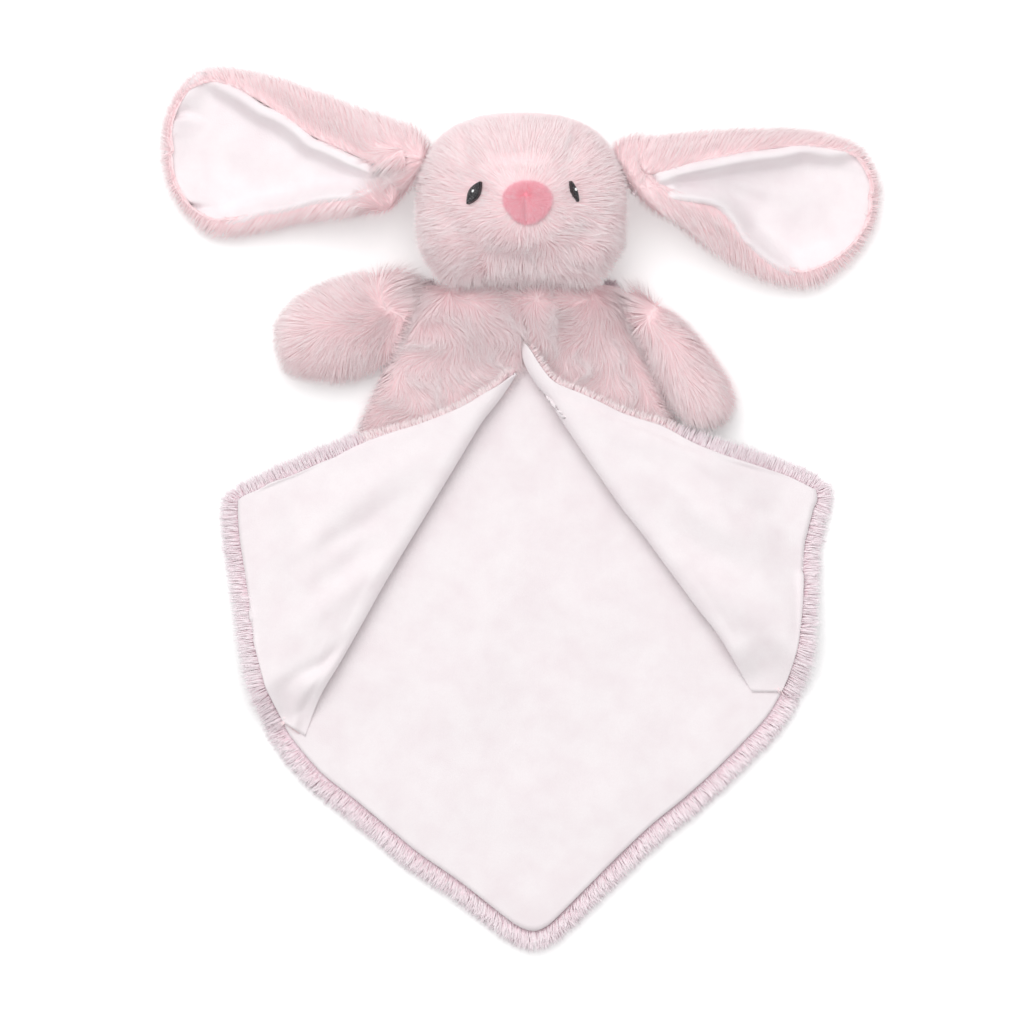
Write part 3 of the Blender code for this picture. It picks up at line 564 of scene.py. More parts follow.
def make_strand(name: str, is_bent: bool) -> bpy.types.Object:
    """One lock of pile, 1 high and 1 wide, widest below its middle: a closed three-sided spike.

    Args:
        name: The object's name.
        is_bent: Whether it has a ring in the middle, so that it can curve.

    Returns:
        The lock, with how far along it each corner lies in the attribute named along.
    """
    bm = bmesh.new()
    bmesh.ops.create_cone(bm, cap_ends=True, cap_tris=False, segments=3, radius1=0.36, radius2=0.0, depth=1.0,
                          matrix=Matrix.Translation((0.0, 0.0, 0.5)))
    bmesh.ops.remove_doubles(bm, verts=bm.verts, dist=0.001)
    if is_bent:
        bmesh.ops.bisect_plane(bm, geom=[*bm.verts, *bm.edges, *bm.faces], plane_co=(0.0, 0.0, 0.5),
                               plane_no=(0.0, 0.0, 1.0))
        for vert in bm.verts:
            if 0.4 < vert.co.z < 0.6:
                vert.co.x *= 2.6
                vert.co.y *= 2.6
    layer = bm.verts.layers.float.new("along")
    for vert in bm.verts:
        vert[layer] = vert.co.z
    mesh = bpy.data.meshes.new(name)
    bm.to_mesh(mesh)
    bm.free()
    mesh.shade_smooth()
    return placed(name, mesh)


@dataclass(frozen=True)
class Pile:
    """How the locks of a piece of plush grow.

    The skin that they grow from says at each corner how dense they are, how long, and which way they lie.
    """

    length: float = 7.0 * MM
    width: float = 0.6 * MM
    per_square_mm: float = 1.5
    scatter: float = 0.26
    bend: float = 0.2
    clump: float = 3.6 * MM
    pull: float = 0.36
    waver: float = 1.4 * MM
    waver_size: float = 9.0 * MM
    flatness: float = 0.4
    is_bent: bool = False

    def group(self, strand: bpy.types.Object, seed: int) -> bpy.types.NodeTree:
        """The geometry nodes that turn a skin into its pile."""
        tree = bpy.data.node_groups.new("pile", "GeometryNodeTree")
        tree.interface.new_socket("Geometry", in_out="INPUT", socket_type="NodeSocketGeometry")
        tree.interface.new_socket("Geometry", in_out="OUTPUT", socket_type="NodeSocketGeometry")

        def named(name: str, kind: str = "FLOAT_VECTOR") -> bpy.types.Node:
            return add(tree, "GeometryNodeInputNamedAttribute", {"Name": name}, data_type=kind)

        def math_node(operation: str, *values: object) -> bpy.types.Node:
            return add(tree, "ShaderNodeMath", dict(enumerate(values)), operation=operation)

        def vector(operation: str, *values: object) -> bpy.types.Node:
            return add(tree, "ShaderNodeVectorMath", dict(enumerate(values)), operation=operation)

        def chance(low: float, high: float, step: int) -> bpy.types.Node:
            return add(tree, "FunctionNodeRandomValue", {"Min": low, "Max": high, "Seed": seed + step},
                       data_type="FLOAT")

        source = add(tree, "NodeGroupInput")
        density = math_node("MULTIPLY", named("density", "FLOAT"), self.per_square_mm / MM**2)
        points = add(tree, "GeometryNodeDistributePointsOnFaces",
                     {"Mesh": source.outputs[0], "Density": density, "Seed": seed})
        rough = add(tree, "FunctionNodeRandomValue",
                    {"Min": (-self.scatter,) * 3, "Max": (self.scatter,) * 3, "Seed": seed + 1},
                    data_type="FLOAT_VECTOR")
        upright = vector("ADD", vector("ADD", named("out"), named("comb")), rough)
        turn = add(tree, "FunctionNodeAxesToRotation", {"Primary Axis": upright, "Secondary Axis": named("comb")},
                   primary_axis="Z", secondary_axis="X")
        reach = math_node("MULTIPLY", math_node("MULTIPLY", named("reach", "FLOAT"), self.length),
                          chance(0.75, 1.15, 2))
        wide = chance(self.width * 0.7, self.width * 1.3, 3)
        size = add(tree, "ShaderNodeCombineXYZ", {"X": math_node("MULTIPLY", wide, self.flatness), "Y": wide,
                                                  "Z": reach})
        kept = points.outputs["Points"]
        cell = add(tree, "ShaderNodeTexVoronoi", {"Vector": add(tree, "GeometryNodeInputPosition"),
                                                  "Scale": 1.0 / self.clump})
        whole = add(tree, "ShaderNodeSeparateXYZ", {0: cell.outputs["Color"]})
        shade = math_node("MULTIPLY", math_node("ADD", whole.outputs[0], chance(0.0, 1.0, 4)), 0.5)
        for name, value, kind in (("shade", shade, "FLOAT"), ("tall", reach, "FLOAT"),
                                  ("root", add(tree, "GeometryNodeInputPosition"), "FLOAT_VECTOR")):
            kept = add(tree, "GeometryNodeStoreNamedAttribute", {"Geometry": kept, "Name": name, "Value": value},
                       data_type=kind, domain="POINT").outputs["Geometry"]
        lock = add(tree, "GeometryNodeObjectInfo", {"Object": strand})
        grown = add(tree, "GeometryNodeInstanceOnPoints",
                    {"Points": kept, "Instance": lock.outputs["Geometry"], "Rotation": turn, "Scale": size})
        real = add(tree, "GeometryNodeRealizeInstances", {"Geometry": grown})
        root = named("root")
        cell = add(tree, "ShaderNodeTexVoronoi", {"Vector": root, "Scale": 1.0 / self.clump})
        drawn = vector("SUBTRACT", cell.outputs["Position"], root)
        along_out = vector("SCALE", named("out"), vector("DOT_PRODUCT", drawn, named("out")).outputs["Value"])
        gather = math_node("MULTIPLY", named("tuft", "FLOAT"), self.pull)
        drawn = vector("SCALE", vector("SUBTRACT", drawn, along_out), gather)
        wave = add(tree, "ShaderNodeTexNoise", {"Vector": root, "Scale": 1.0 / self.waver_size, "Detail": 2.0})
        wave = vector("SCALE", vector("SUBTRACT", wave.outputs["Color"], (0.5, 0.5, 0.5)),
                      math_node("MULTIPLY", named("tuft", "FLOAT"), self.waver * 2))
        lean = vector("SCALE", named("comb"), math_node("MULTIPLY", named("tall", "FLOAT"), self.bend))
        shift = vector("ADD", vector("ADD", drawn, wave), lean)
        along = named("along", "FLOAT")
        shift = vector("SCALE", shift, math_node("MULTIPLY", along, along))
        moved = add(tree, "GeometryNodeSetPosition", {"Geometry": real, "Offset": shift})
        add(tree, "NodeGroupOutput", {0: moved})
        return tree

    def grow(self, skin: bpy.types.Object, name: str, growth: Growth, finish: bpy.types.Material,
             seed: int = 0) -> bpy.types.Object:
        """Grows the pile of a skin as a piece of its own.

        Args:
            skin: The object that the locks stand on.
            name: The new piece's name.
            growth: Gives the density, the share of the length, how much the locks gather and their lie at a
                corner, from its place, its normal and its number.
            finish: The pile's material.
            seed: Keeps two piles from being the same.

        Returns:
            The pile's object, with no modifier left on it.
        """
        ground = skin.data.copy()
        values = {"density": [], "reach": [], "tuft": [], "comb": [], "out": []}
        for vert, normal in zip(ground.vertices, ground.vertex_normals):
            density, reach, tuft, comb = growth(vert.co, normal.vector, vert.index)
            values["density"].append(density)
            values["reach"].append(reach)
            values["tuft"].append(tuft)
            values["comb"] += comb[:]
            values["out"] += normal.vector[:]
        for key, numbers in values.items():
            kind = "FLOAT_VECTOR" if key in ("comb", "out") else "FLOAT"
            layer = ground.attributes.new(key, kind, "POINT")
            layer.data.foreach_set("vector" if kind == "FLOAT_VECTOR" else "value", numbers)
        holder = placed("ground", ground)
        strand = make_strand("lock", self.is_bent)
        modifier = holder.modifiers.new("pile", "NODES")
        modifier.node_group = self.group(strand, seed)
        depsgraph = bpy.context.evaluated_depsgraph_get()
        mesh = bpy.data.meshes.new_from_object(holder.evaluated_get(depsgraph), preserve_all_data_layers=True,
                                               depsgraph=depsgraph)
        for obj in (holder, strand):
            bpy.data.objects.remove(obj)
        mesh.name = name
        self._settle(mesh)
        mesh.materials.clear()
        mesh.materials.append(finish)
        LOG.info("%s: %d triangles", name, sum(len(face.vertices) - 2 for face in mesh.polygons))
        return placed(name, mesh)

    @staticmethod
    def _settle(mesh: bpy.types.Mesh) -> None:
        """Keeps the locks above the floor, with their facets flat, so that they pass the light on evenly."""
        places = np.empty(len(mesh.vertices) * 3)
        mesh.vertices.foreach_get("co", places)
        places = places.reshape(-1, 3)
        places[:, 2] = np.maximum(places[:, 2], FLOOR_CLEARANCE)
        mesh.vertices.foreach_set("co", places.ravel())
        mesh.shade_flat()
        mesh.update()


# --- Sub-assemblies


class Part:
    """A sub-assembly of the toy: it hands each of its pieces to a body of the frame."""

    def __init__(self, body: str, finishes: Finishes, side: Side = Side.LEFT) -> None:
        """Args: body is the one that it rides on, finishes are the materials by name, and side is the toy's own."""
        self.body = body
        self.finishes = finishes
        self.side, self.label, self.sign = side, side.label, side.value

    def keep(self, piece: bpy.types.Object, slot: str, *nodes: str) -> None:
        """Puts a piece on the body, and hides the nodes that it stands for."""
        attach(piece, self.body)
        if nodes:
            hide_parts(*nodes)
        LOG.info("%s rides on %s", piece.name, self.body)

    def cover(self, skin: bpy.types.Object, name: str, pile: Pile, growth: Growth, seed: int,
              finish: str = "plush") -> None:
        """Grows a pile on a skin and keeps it."""
        self.keep(pile.grow(skin, name, growth, self.finishes[finish], seed), "plush")

    def cloth(self, bm: bmesh.types.BMesh, rounds: int, thickness: float, name: str, finish: str,
              node: str) -> bpy.types.Object:
        """Evens out an open grid's heights, closes it into a cloth and keeps that in the place of a node."""
        even_out(bm, rounds, UP_DOWN)
        thicken(bm, thickness)
        piece = to_object(bm, name, self.finishes[finish])
        self.keep(piece, "velour" if finish == "velour" else "plush", node)
        return piece

    @staticmethod
    def lay(piece: bpy.types.Object, size: tuple[float, float], held: str, rests_on: Sequence[str] = ()) -> None:
        """Does nothing with a sheet of cloth, cut from a rectangle of this size to its own outline.

        Args:
            piece: The sheet; not used.
            size: The width and length of the rectangle that it is cut from; not used.
            held: How it lies; not used.
            rests_on: What it lies on; not used.
        """


class Head(Part):
    """The stuffed head: one plush skin over its three panels, a velour nose and two embroidered eyes."""

    NOSE = spot(526, 202)
    INSET = 3.6 * MM
    PANELS = ("head_gusset", "head_left_side", "head_right_side", "head_filling")
    FACE = ("nose", "left_eye", "right_eye")
    CREASES = (
        Fold(((586, 116), (580, 128), (575, 140), (571, 152), (566, 170)), 3.8, -3.4),
        Fold(((596, 126), (589, 145), (580, 168)), 5.5, 1.4),
        Fold(((462, 122), (463, 142), (466, 158), (470, 172)), 4.5, -2.0),
        Fold(((436, 203), (446, 218), (458, 232), (472, 243)), 5.5, -2.0),
        Fold(((474, 174), (490, 165), (522, 160), (552, 164), (568, 174)), 5.0, -2.4),
        Fold(((592, 210), (586, 233), (570, 252)), 6.0, -1.6),
        Fold(((474, 246), (500, 256), (526, 259), (552, 256), (572, 247)), 6.0, -2.0),
    )
    # Its middle, how far it reaches and how far it bulges
    MUZZLE = (spot(524, 212), 20 * MM, 2.0 * MM)
    # Half its width, half its height and its crown
    NOSE_SIZE = (11.6 * MM, 10.4 * MM, 3.6 * MM)
    NOSE_DEPTH = 4.5 * MM
    SEAM_DEPTH = 0.9 * MM
    # How far the eyes press the skin in, how far their stitches rise, and how deep they sit
    EYE_DENT = 1.6 * MM
    STITCH_CROWN = 1.3 * MM
    STITCH_SINK = 1.5 * MM
    STITCH_PITCH = 0.6
    # Each eye's lower and upper end, and half its width
    EYES = {
        Side.RIGHT: ((464.2, 204.5), (479.6, 183.5), 3.0 * MM),
        Side.LEFT: ((581.0, 202.5), (572.2, 182.5), 1.5 * MM),
    }

    def build(self) -> None:
        """Builds the skin, its pile and the face."""
        relief = Relief(self.CREASES)
        eyes = [self.eye_frame(side) for side in Side]

        def sculpt(place: Vector, normal: Vector) -> float:
            centre, width, bulge = self.MUZZLE
            depth = relief.at(place.xy) + bulge * bell((place.xy - centre).length, width, 4)
            depth *= ramp(normal.z, -0.1, 0.4)
            for middle, _, _, _ in eyes:
                depth -= self.EYE_DENT * bell((place - middle).length, 8 * MM)
            return depth

        skin = wrapped("head_skin", (*self.PANELS, *self.FACE), self.finishes["backing"], self.INSET, sculpt)
        self.keep(skin, "plush", *self.PANELS)
        nose_at = Vector((*self.NOSE, Probe("nose").top(self.NOSE)))

        def growth(place: Vector, normal: Vector, _: int) -> Lock:
            away = place - nose_at
            bare = ((place.x - self.NOSE.x) / (10.4 * MM)) ** 2 + ((place.y - self.NOSE.y) / (8.8 * MM)) ** 2
            density = 1.0 if bare > 1.0 or normal.z < 0 else 0.0
            for middle, long_way, short_way, size in eyes:
                offset = place - middle
                shape = (offset.dot(long_way) / size.x) ** 2 + (offset.dot(short_way) / (size.y + 0.5 * MM)) ** 2
                if shape < 1.0 and offset.length < 12 * MM:
                    density = 0.0
            brow = ramp(away.y, 12 * MM, 26 * MM)
            low = ramp(-away.y, 4 * MM, 24 * MM)
            rim = ramp(0.5 - normal.z, 0.0, 0.4)
            reach = 0.55 + 0.25 * ramp(away.length, 10 * MM, 30 * MM) + 0.25 * low
            if place.y < NECK_Y + 3.0 * MM and normal.y < -0.5 and place.z < 30 * MM:
                density = 0.0
            if place.z < 4 * MM:
                reach *= 0.4
            density *= 0.3 + 0.7 * ramp(normal.z, -0.5, 0.0)
            lie = away.normalized() + noise.noise_vector(place / (10 * MM)) * (0.35 + 0.9 * low)
            chin = ramp(NECK_Y + 14 * MM - place.y, 0.0, 10 * MM)
            lean = (2.6 + 0.8 * brow - 0.9 * low) * (1.0 - 0.75 * rim) * (1.0 - 0.3 * chin)
            reach *= 1.0 - 0.3 * brow * rim
            return density, reach + 0.25 * chin, 0.2 + 0.8 * (1.0 - brow), lies_along(lie, normal) * lean

        pile = Pile(length=7.3 * MM, per_square_mm=0.8, width=0.62 * MM, pull=0.34, waver=1.6 * MM,
                    waver_size=6.0 * MM, clump=3.8 * MM)
        self.cover(skin, "head_pile_1", pile, growth, 11)
        self.cover(skin, "head_pile_2", pile, growth, 23)
        self.build_nose()
        for side in Side:
            self.build_eye(side)

    def eye_frame(self, side: Side) -> tuple[Vector, Vector, Vector, Vector]:
        """An eye's middle, its long and short directions, and its half length and half width."""
        probe = Probe(f"{side.label}_eye")
        low, high, half_width = self.EYES[side]
        start, end = spot(*low), spot(*high)
        middle = start.lerp(end, 0.5)
        out = probe.axes()[1][2]
        out = out if out.z > 0 else -out
        span = Vector((*(end - start), 0.0))
        long_way = lies_along(span, out)
        half_length = span.length / 2 / max(long_way.dot(span.normalized()), 0.5)
        return (Vector((*middle, probe.top(middle))), long_way, out.cross(long_way),
                Vector((half_length, half_width)))

    def build_nose(self) -> None:
        """A domed velour patch, wider above, drawn in along a seam down its middle, with its short nap."""
        probe = Probe("nose")
        middle = probe.axes()[0] + Vector((1.2 * MM, -1.0 * MM, 0.0))
        half_width, half_height, crown = self.NOSE_SIZE
        base = probe.top(middle.xy) - self.NOSE_DEPTH

        def place(turn: float, across: float) -> Vector:
            angle = turn * 2 * math.pi
            reach = math.sin(across * math.pi / 2)
            x, y = math.cos(angle) * reach, math.sin(angle) * reach
            at = Vector((x * half_width * (1.0 + 0.2 * y), y * half_height))
            height = crown * math.cos(across * math.pi / 2) ** 0.8 if across < 1 else 0.0
            height -= self.SEAM_DEPTH * bell(at.x + 1.0 * MM, 1.4 * MM) * (1.0 - across**3)
            return Vector((middle.x + at.x, middle.y + at.y, base + height))

        bm = bent_grid((96, 22), place)
        for vert in doubled(bm):
            vert.co.z = middle.z - 4.0 * MM
        piece = to_object(bm, "nose_patch", self.finishes["nose"])
        self.keep(piece, "nose_velour", "nose")

        def nap(place: Vector, normal: Vector, _: int) -> Lock:
            away = place - middle
            lie = Vector((away.x + 1.0 * MM, away.y - 4.0 * MM, 0.0)).normalized()
            return (1.0 if normal.z > 0.1 else 0.0), 1.0, 0.4, lies_along(lie, normal) * 1.3

        pile = Pile(length=2.2 * MM, width=0.4 * MM, per_square_mm=12.0, clump=1.6 * MM, waver=0.5 * MM,
                    waver_size=3.0 * MM)
        self.keep(pile.grow(piece, "nose_nap", nap, self.finishes["nap"], 5), "nose_velour")

    def build_eye(self, side: Side) -> None:
        """An almond of satin stitches across its length, with a small white stitched glint."""
        middle, long_way, short_way, size = self.eye_frame(side)
        out = long_way.cross(short_way)
        out = out if out.z > 0 else -out

        def place(along: float, across: float) -> Vector:
            u, v = along * 2 - 1, across * 2 - 1
            width = size.y * max(1.0 - abs(u) ** 1.7, 0.0) ** 0.9
            height = self.STITCH_CROWN * (1 - v * v) * max(1 - u * u, 0.0) ** 0.5
            thread = 0.1 * MM * math.sin(u * size.x / MM * 2 * math.pi / self.STITCH_PITCH) * (1 - v * v)
            rise = height + thread - self.STITCH_SINK
            return middle + long_way * u * size.x + short_way * v * width + out * rise

        bm = bent_grid((120, 10), place)
        for vert in doubled(bm):
            vert.co -= out * 2.5 * MM
        piece = to_object(bm, f"{side.label}_eye_stitching", self.finishes["black"])
        self.keep(piece, "black_thread", f"{side.label}_eye")
        bm = bmesh.new()
        bmesh.ops.create_uvsphere(bm, u_segments=16, v_segments=10, radius=1.0)
        for vert in bm.verts:
            co = vert.co.copy()
            vert.co = (middle + long_way * (co.x * 0.9 + 0.9) * MM + short_way * co.y * 0.65 * MM
                       + out * (co.z * 0.7 - 0.4) * MM)
        piece = to_object(bm, f"{side.label}_eye_glint_stitching", self.finishes["white"])
        self.keep(piece, "white_thread", f"{side.label}_eye_glint")


class Arm(Part):
    """A stuffed arm: one plush skin over its filling."""

    INSET = 3.4 * MM
    AXES = {
        Side.RIGHT: ((470, 312), (425, 318), (360, 326), (318, 335)),
        Side.LEFT: ((585, 262), (620, 300), (668, 350), (700, 392)),
    }
    ROOTS = {Side.RIGHT: (408, 286), Side.LEFT: (627, 297)}

    def build(self) -> None:
        """Builds the skin and its pile."""
        nodes = (f"{self.label}_arm_plush", f"{self.label}_arm_filling")
        axis, body_side = Line.from_picture(self.AXES[self.side]), Line.from_picture(PLANS[self.side].body)
        skin = wrapped(f"{self.label}_arm_skin", nodes, self.finishes["backing"], self.INSET)
        self.keep(skin, "plush", *nodes)

        def growth(place: Vector, normal: Vector, _: int) -> Lock:
            distance, near, share = axis.nearest(place.xy)
            away = Vector((*(place.xy - near), 0.0)) / (14 * MM)
            swirl = noise.noise_vector(place / (22 * MM)) * 0.5
            at_root = ramp(20 * MM - (place.xy - spot(*self.ROOTS[self.side])).length, 0.0, 10 * MM)
            onward = 0.6 - 0.6 * at_root
            lie = away + Vector((*axis.heading(share), 0.0)) * onward + Vector((0.0, -0.25, 0.0)) + swirl
            inward = Vector((-self.sign, 0.5 * at_root - 0.2, 0.0))
            beside = max(ramp(9 * MM - body_side.nearest(place.xy)[0], 0.0, 6 * MM), at_root)
            lie = lie.lerp(inward, beside)
            density = 0.3 + 0.7 * ramp(normal.z, -0.5, 0.0)
            reach = 0.45 if place.z < 4 * MM else 1.0
            rim = ramp(0.5 - normal.z, 0.0, 0.5)
            return density, reach * (1.0 + 0.7 * at_root), 0.6, lies_along(lie, normal) * (2.6 - 1.9 * rim)

        self.cover(skin, f"{self.label}_arm_pile", Pile(), growth, 31)


class Ear(Part):
    """An ear: a cupped plush back, and a velour lining that rolls over inside its rim."""

    # How far the lining's edge droops inside the rim
    DROOP = 1.4 * MM
    UPPER = {
        Side.RIGHT: ((396, 183), (385, 177), (365, 166), (350, 160), (330, 150), (310, 142), (300, 132), (280, 118),
                     (262, 110), (240, 95), (222, 85), (207, 77), (195, 83)),
        Side.LEFT: ((628, 192), (640, 182), (660, 176), (680, 170), (700, 166), (720, 162), (740, 158), (760, 155),
                    (780, 153), (800, 148), (815, 149), (830, 152), (845, 150)),
    }
    LOWER = {
        Side.RIGHT: ((396, 183), (375, 190), (362, 197), (340, 199), (320, 201), (300, 206), (280, 211), (260, 214),
                     (245, 220), (235, 223), (222, 225), (212, 219)),
        Side.LEFT: ((628, 192), (650, 194), (665, 197), (680, 199), (700, 201), (715, 205), (725, 213), (735, 225),
                    (742, 238), (750, 245), (762, 256), (775, 266), (790, 275)),
    }
    END = {
        Side.RIGHT: ((195, 83), (186, 95), (178, 112), (172, 130), (169, 150), (172, 170), (180, 187), (190, 200),
                     (200, 210), (212, 219)),
        Side.LEFT: ((845, 150), (855, 152), (862, 160), (868, 175), (871, 190), (871, 205), (868, 220), (860, 235),
                    (850, 248), (840, 257), (825, 266), (810, 275), (790, 275)),
    }
    # How far the fur at the root turns towards the head, and how much longer it is there
    ROOT_LIE = {Side.RIGHT: (1.8, 0.3), Side.LEFT: (0.0, -0.45)}
    RIDGES = {
        Side.RIGHT: (
            Fold(((200, 150), (225, 165), (250, 185)), 7, -1.2),
            Fold(((235, 150), (280, 165), (330, 180)), 9, 1.2),
        ),
        Side.LEFT: (
            Fold(((640, 188), (680, 179), (720, 180), (740, 184), (760, 190), (775, 196), (785, 205), (790, 215)),
                 4.0, 2.2),
            Fold(((700, 190), (740, 197), (765, 208), (775, 220)), 5.0, -1.2),
        ),
    }

    def build(self) -> None:
        """Builds the plush back with its pile, and the lining."""
        skin = self.build_back()
        self.build_lining(skin)

    def build_back(self) -> bpy.types.Object:
        """The plush back, from the frame's form, thinned so that its pile ends where that form does."""
        lining = Probe(f"{self.label}_ear_lining")
        bm = bmesh.new()
        bm.from_mesh(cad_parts[f"{self.label}_ear_plush"].data)
        bmesh.ops.remove_doubles(bm, verts=bm.verts, dist=WELD)
        bmesh.ops.join_triangles(bm, faces=bm.faces, angle_face_threshold=3.1, angle_shape_threshold=3.1)
        for _ in range(2):
            bmesh.ops.subdivide_edges(bm, edges=bm.edges, cuts=1, use_grid_fill=True, smooth=0.4)
        bm.normal_update()
        gaps = [lining.gap(vert.co) for vert in bm.verts]
        root = spot(*self.UPPER[self.side][0])
        for vert, gap in zip(bm.verts, gaps):
            inward = 2.3 * MM * ramp(gap, 1.6 * MM, 4.2 * MM)
            by_root = ramp(26 * MM - (vert.co.xy - root).length, 0.0, 6 * MM)
            facing_head = ramp(-vert.normal.x * self.sign, 0.2, 0.7) * by_root
            vert.co -= vert.normal * (inward * (1.0 - facing_head) - 2.6 * MM * facing_head)
        even_out(bm, 1)
        for vert in bm.verts:
            vert.co.z = max(vert.co.z, FLOOR_CLEARANCE)
        skin = to_object(bm, f"{self.label}_ear_skin", self.finishes["backing"], keeps_order=True)
        self.keep(skin, "plush", f"{self.label}_ear_plush")
        upper, lower = Line.from_picture(self.UPPER[self.side]), Line.from_picture(self.LOWER[self.side])
        middle = Line([a.lerp(b, 0.5) for a, b in zip(upper.points[::20], lower.points[::20])])
        turned, longer = self.ROOT_LIE[self.side]

        def growth(place: Vector, normal: Vector, index: int) -> Lock:
            gap = gaps[index]
            _, near, share = middle.nearest(place.xy)
            at_root = ramp(22 * MM - (place.xy - root).length, 0.0, 8 * MM) * ramp(normal.z, 0.0, 0.4)
            lie = Vector((*(place.xy - near), 0.0)).normalized() * (1.0 - turned * at_root)
            lie += Vector((*middle.heading(share), 0.0)) * 0.5
            density = ramp(gap, 0.5 * MM, 1.4 * MM)
            if normal.z < -0.3:
                density *= 0.12
            reach = (0.35 if place.z < 3 * MM else 1.0) * (0.45 + 0.55 * ramp(gap, 1.0 * MM, 5.0 * MM))
            lean = 2.5 - 1.9 * ramp(0.5 - normal.z, 0.0, 0.5)
            return density, reach * (1.0 + longer * at_root), 0.6, lies_along(lie, normal) * lean

        pile = Pile(length=6.6 * MM, per_square_mm=1.25, width=0.62 * MM, pull=0.3)
        self.cover(skin, f"{self.label}_ear_pile", pile, growth, 47)
        self.lay(skin, EAR_CUT, "stretched")
        return skin

    def build_lining(self, skin: bpy.types.Object) -> None:
        """The velour inside: a roll along each lip, and a floor that follows the ear's scoop."""
        upper, lower = Line.from_picture(self.UPPER[self.side]), Line.from_picture(self.LOWER[self.side])
        end = Line.from_picture(self.END[self.side])
        rim, scoop = Probe(f"{self.label}_ear_plush"), Probe(f"{self.label}_ear_lining")
        top_edge, low_edge = upper.moved_from(lower, 2.6 * MM), lower.moved_from(upper, 2.0 * MM)
        far = end.moved_from(upper, 2.2 * MM).points[LINE_SAMPLES // 10:-LINE_SAMPLES // 10:12]
        tip_edge = Line([top_edge.at(1), *far, low_edge.at(1)])
        patch = Patch(Line([top_edge.at(0), low_edge.at(0)]), tip_edge, top_edge, low_edge)
        relief = Relief(self.RIDGES[self.side])

        def lip(line: Line, share: float, inside: Vector, reach: float) -> float:
            """The height of the plush rim just outside a lip."""
            at = line.at(share)
            return rim.top(at + (at - inside).normalized() * reach, 14 * MM) - 1.0 * MM

        def place(across: float, along: float) -> Vector:
            at = patch.at(across, along)
            middle = patch.at(0.55, along)
            up, low, tip = (edge.nearest(at)[0] for edge in (top_edge, low_edge, tip_edge))
            base = scoop.top(middle, 6 * MM)
            roll_up = bell(max(up - 5.0 * MM, 0.0), 3.0 * MM)
            roll_low = bell(max(low - 2.5 * MM, 0.0), 6.0 * MM)
            roll_tip = bell(max(tip - 2.5 * MM, 0.0), 8.0 * MM)
            high_up = lip(upper, along, middle, 4.0 * MM)
            high_low = lip(lower, along, middle, 3.0 * MM) - 0.6 * MM
            high_tip = lip(end, across, patch.at(0.5, 0.7), 1.2 * MM) - 0.6 * MM
            rolls = ((high_up, roll_up), (high_low, roll_low), (high_tip, roll_tip))
            z = max(base, *(base + (high - base) * roll for high, roll in rolls))
            z -= self.DROOP * bell(min(up, low, tip), 1.3 * MM)
            return Vector((*at, z + relief.at(at) * (1 - roll_up) * (1 - roll_low)))

        piece = self.cloth(bent_grid((66, 74), place), 3, 1.2 * MM, f"{self.label}_ear_lining_velour", "velour",
                           f"{self.label}_ear_lining")
        self.lay(piece, EAR_LINING_CUT, "stretched", [skin.name])


@dataclass(frozen=True)
class WingPlan:
    """Picture points of one side of the blanket."""

    body: Points
    fold: Points
    top_hem: Points
    side_hem: Points
    foot: Points


PLANS = {
    Side.RIGHT: WingPlan(
        body=((428, 285.6), (405, 336), (384, 386), (362, 440), (322, 574), (283, 722)),
        fold=((517, 374), (506, 391), (495, 406), (481, 424), (461, 457), (440, 492), (420, 525), (400, 558),
              (380, 592), (360, 628), (340, 663), (320, 697), (305, 736)),
        top_hem=((517, 374), (500, 385), (485, 393), (470, 402), (450, 412), (430, 420), (410, 427), (390, 433),
                 (370, 440), (350, 449), (335, 457), (320, 463), (300, 472), (280, 480), (260, 489), (245, 495),
                 (238, 500)),
        side_hem=((238, 500), (238, 515), (240, 540), (246, 580), (251, 620), (256, 650), (265, 685), (272, 700),
                  (283, 722)),
        foot=((305, 736), (283, 722)),
    ),
    Side.LEFT: WingPlan(
        body=((611.6, 285.6), (634, 340), (655, 390.6), (675.6, 436), (728.7, 562.6), (781.8, 691.6)),
        fold=((521, 340), (523, 360), (533, 380), (548, 399), (561, 420), (575, 441), (590, 463), (620, 506),
              (640, 531), (660, 558), (680, 585), (700, 612), (720, 638), (752, 692)),
        top_hem=((521, 340), (530, 350), (540, 365), (550, 378), (560, 385), (580, 393), (600, 402), (620, 412),
                 (640, 419), (660, 425), (672, 431), (690, 441), (710, 450), (730, 457), (750, 463), (770, 470),
                 (790, 477), (816, 490)),
        side_hem=((816, 490), (817, 500), (813, 510), (808, 530), (804, 550), (802, 600), (801, 620), (798, 645),
                  (790, 672), (781.8, 691.6)),
        foot=((752, 692), (781.8, 691.6)),
    ),
}
BOTTOM_HEM = ((283, 722), (292, 738), (322, 773), (356, 800), (388, 827), (419, 853), (461, 882), (504, 916),
              (522, 928), (535, 931), (545, 927), (554, 920), (587, 887), (619, 855), (652, 824), (684, 798),
              (717, 768), (745, 740), (767, 716), (781.8, 691.6))


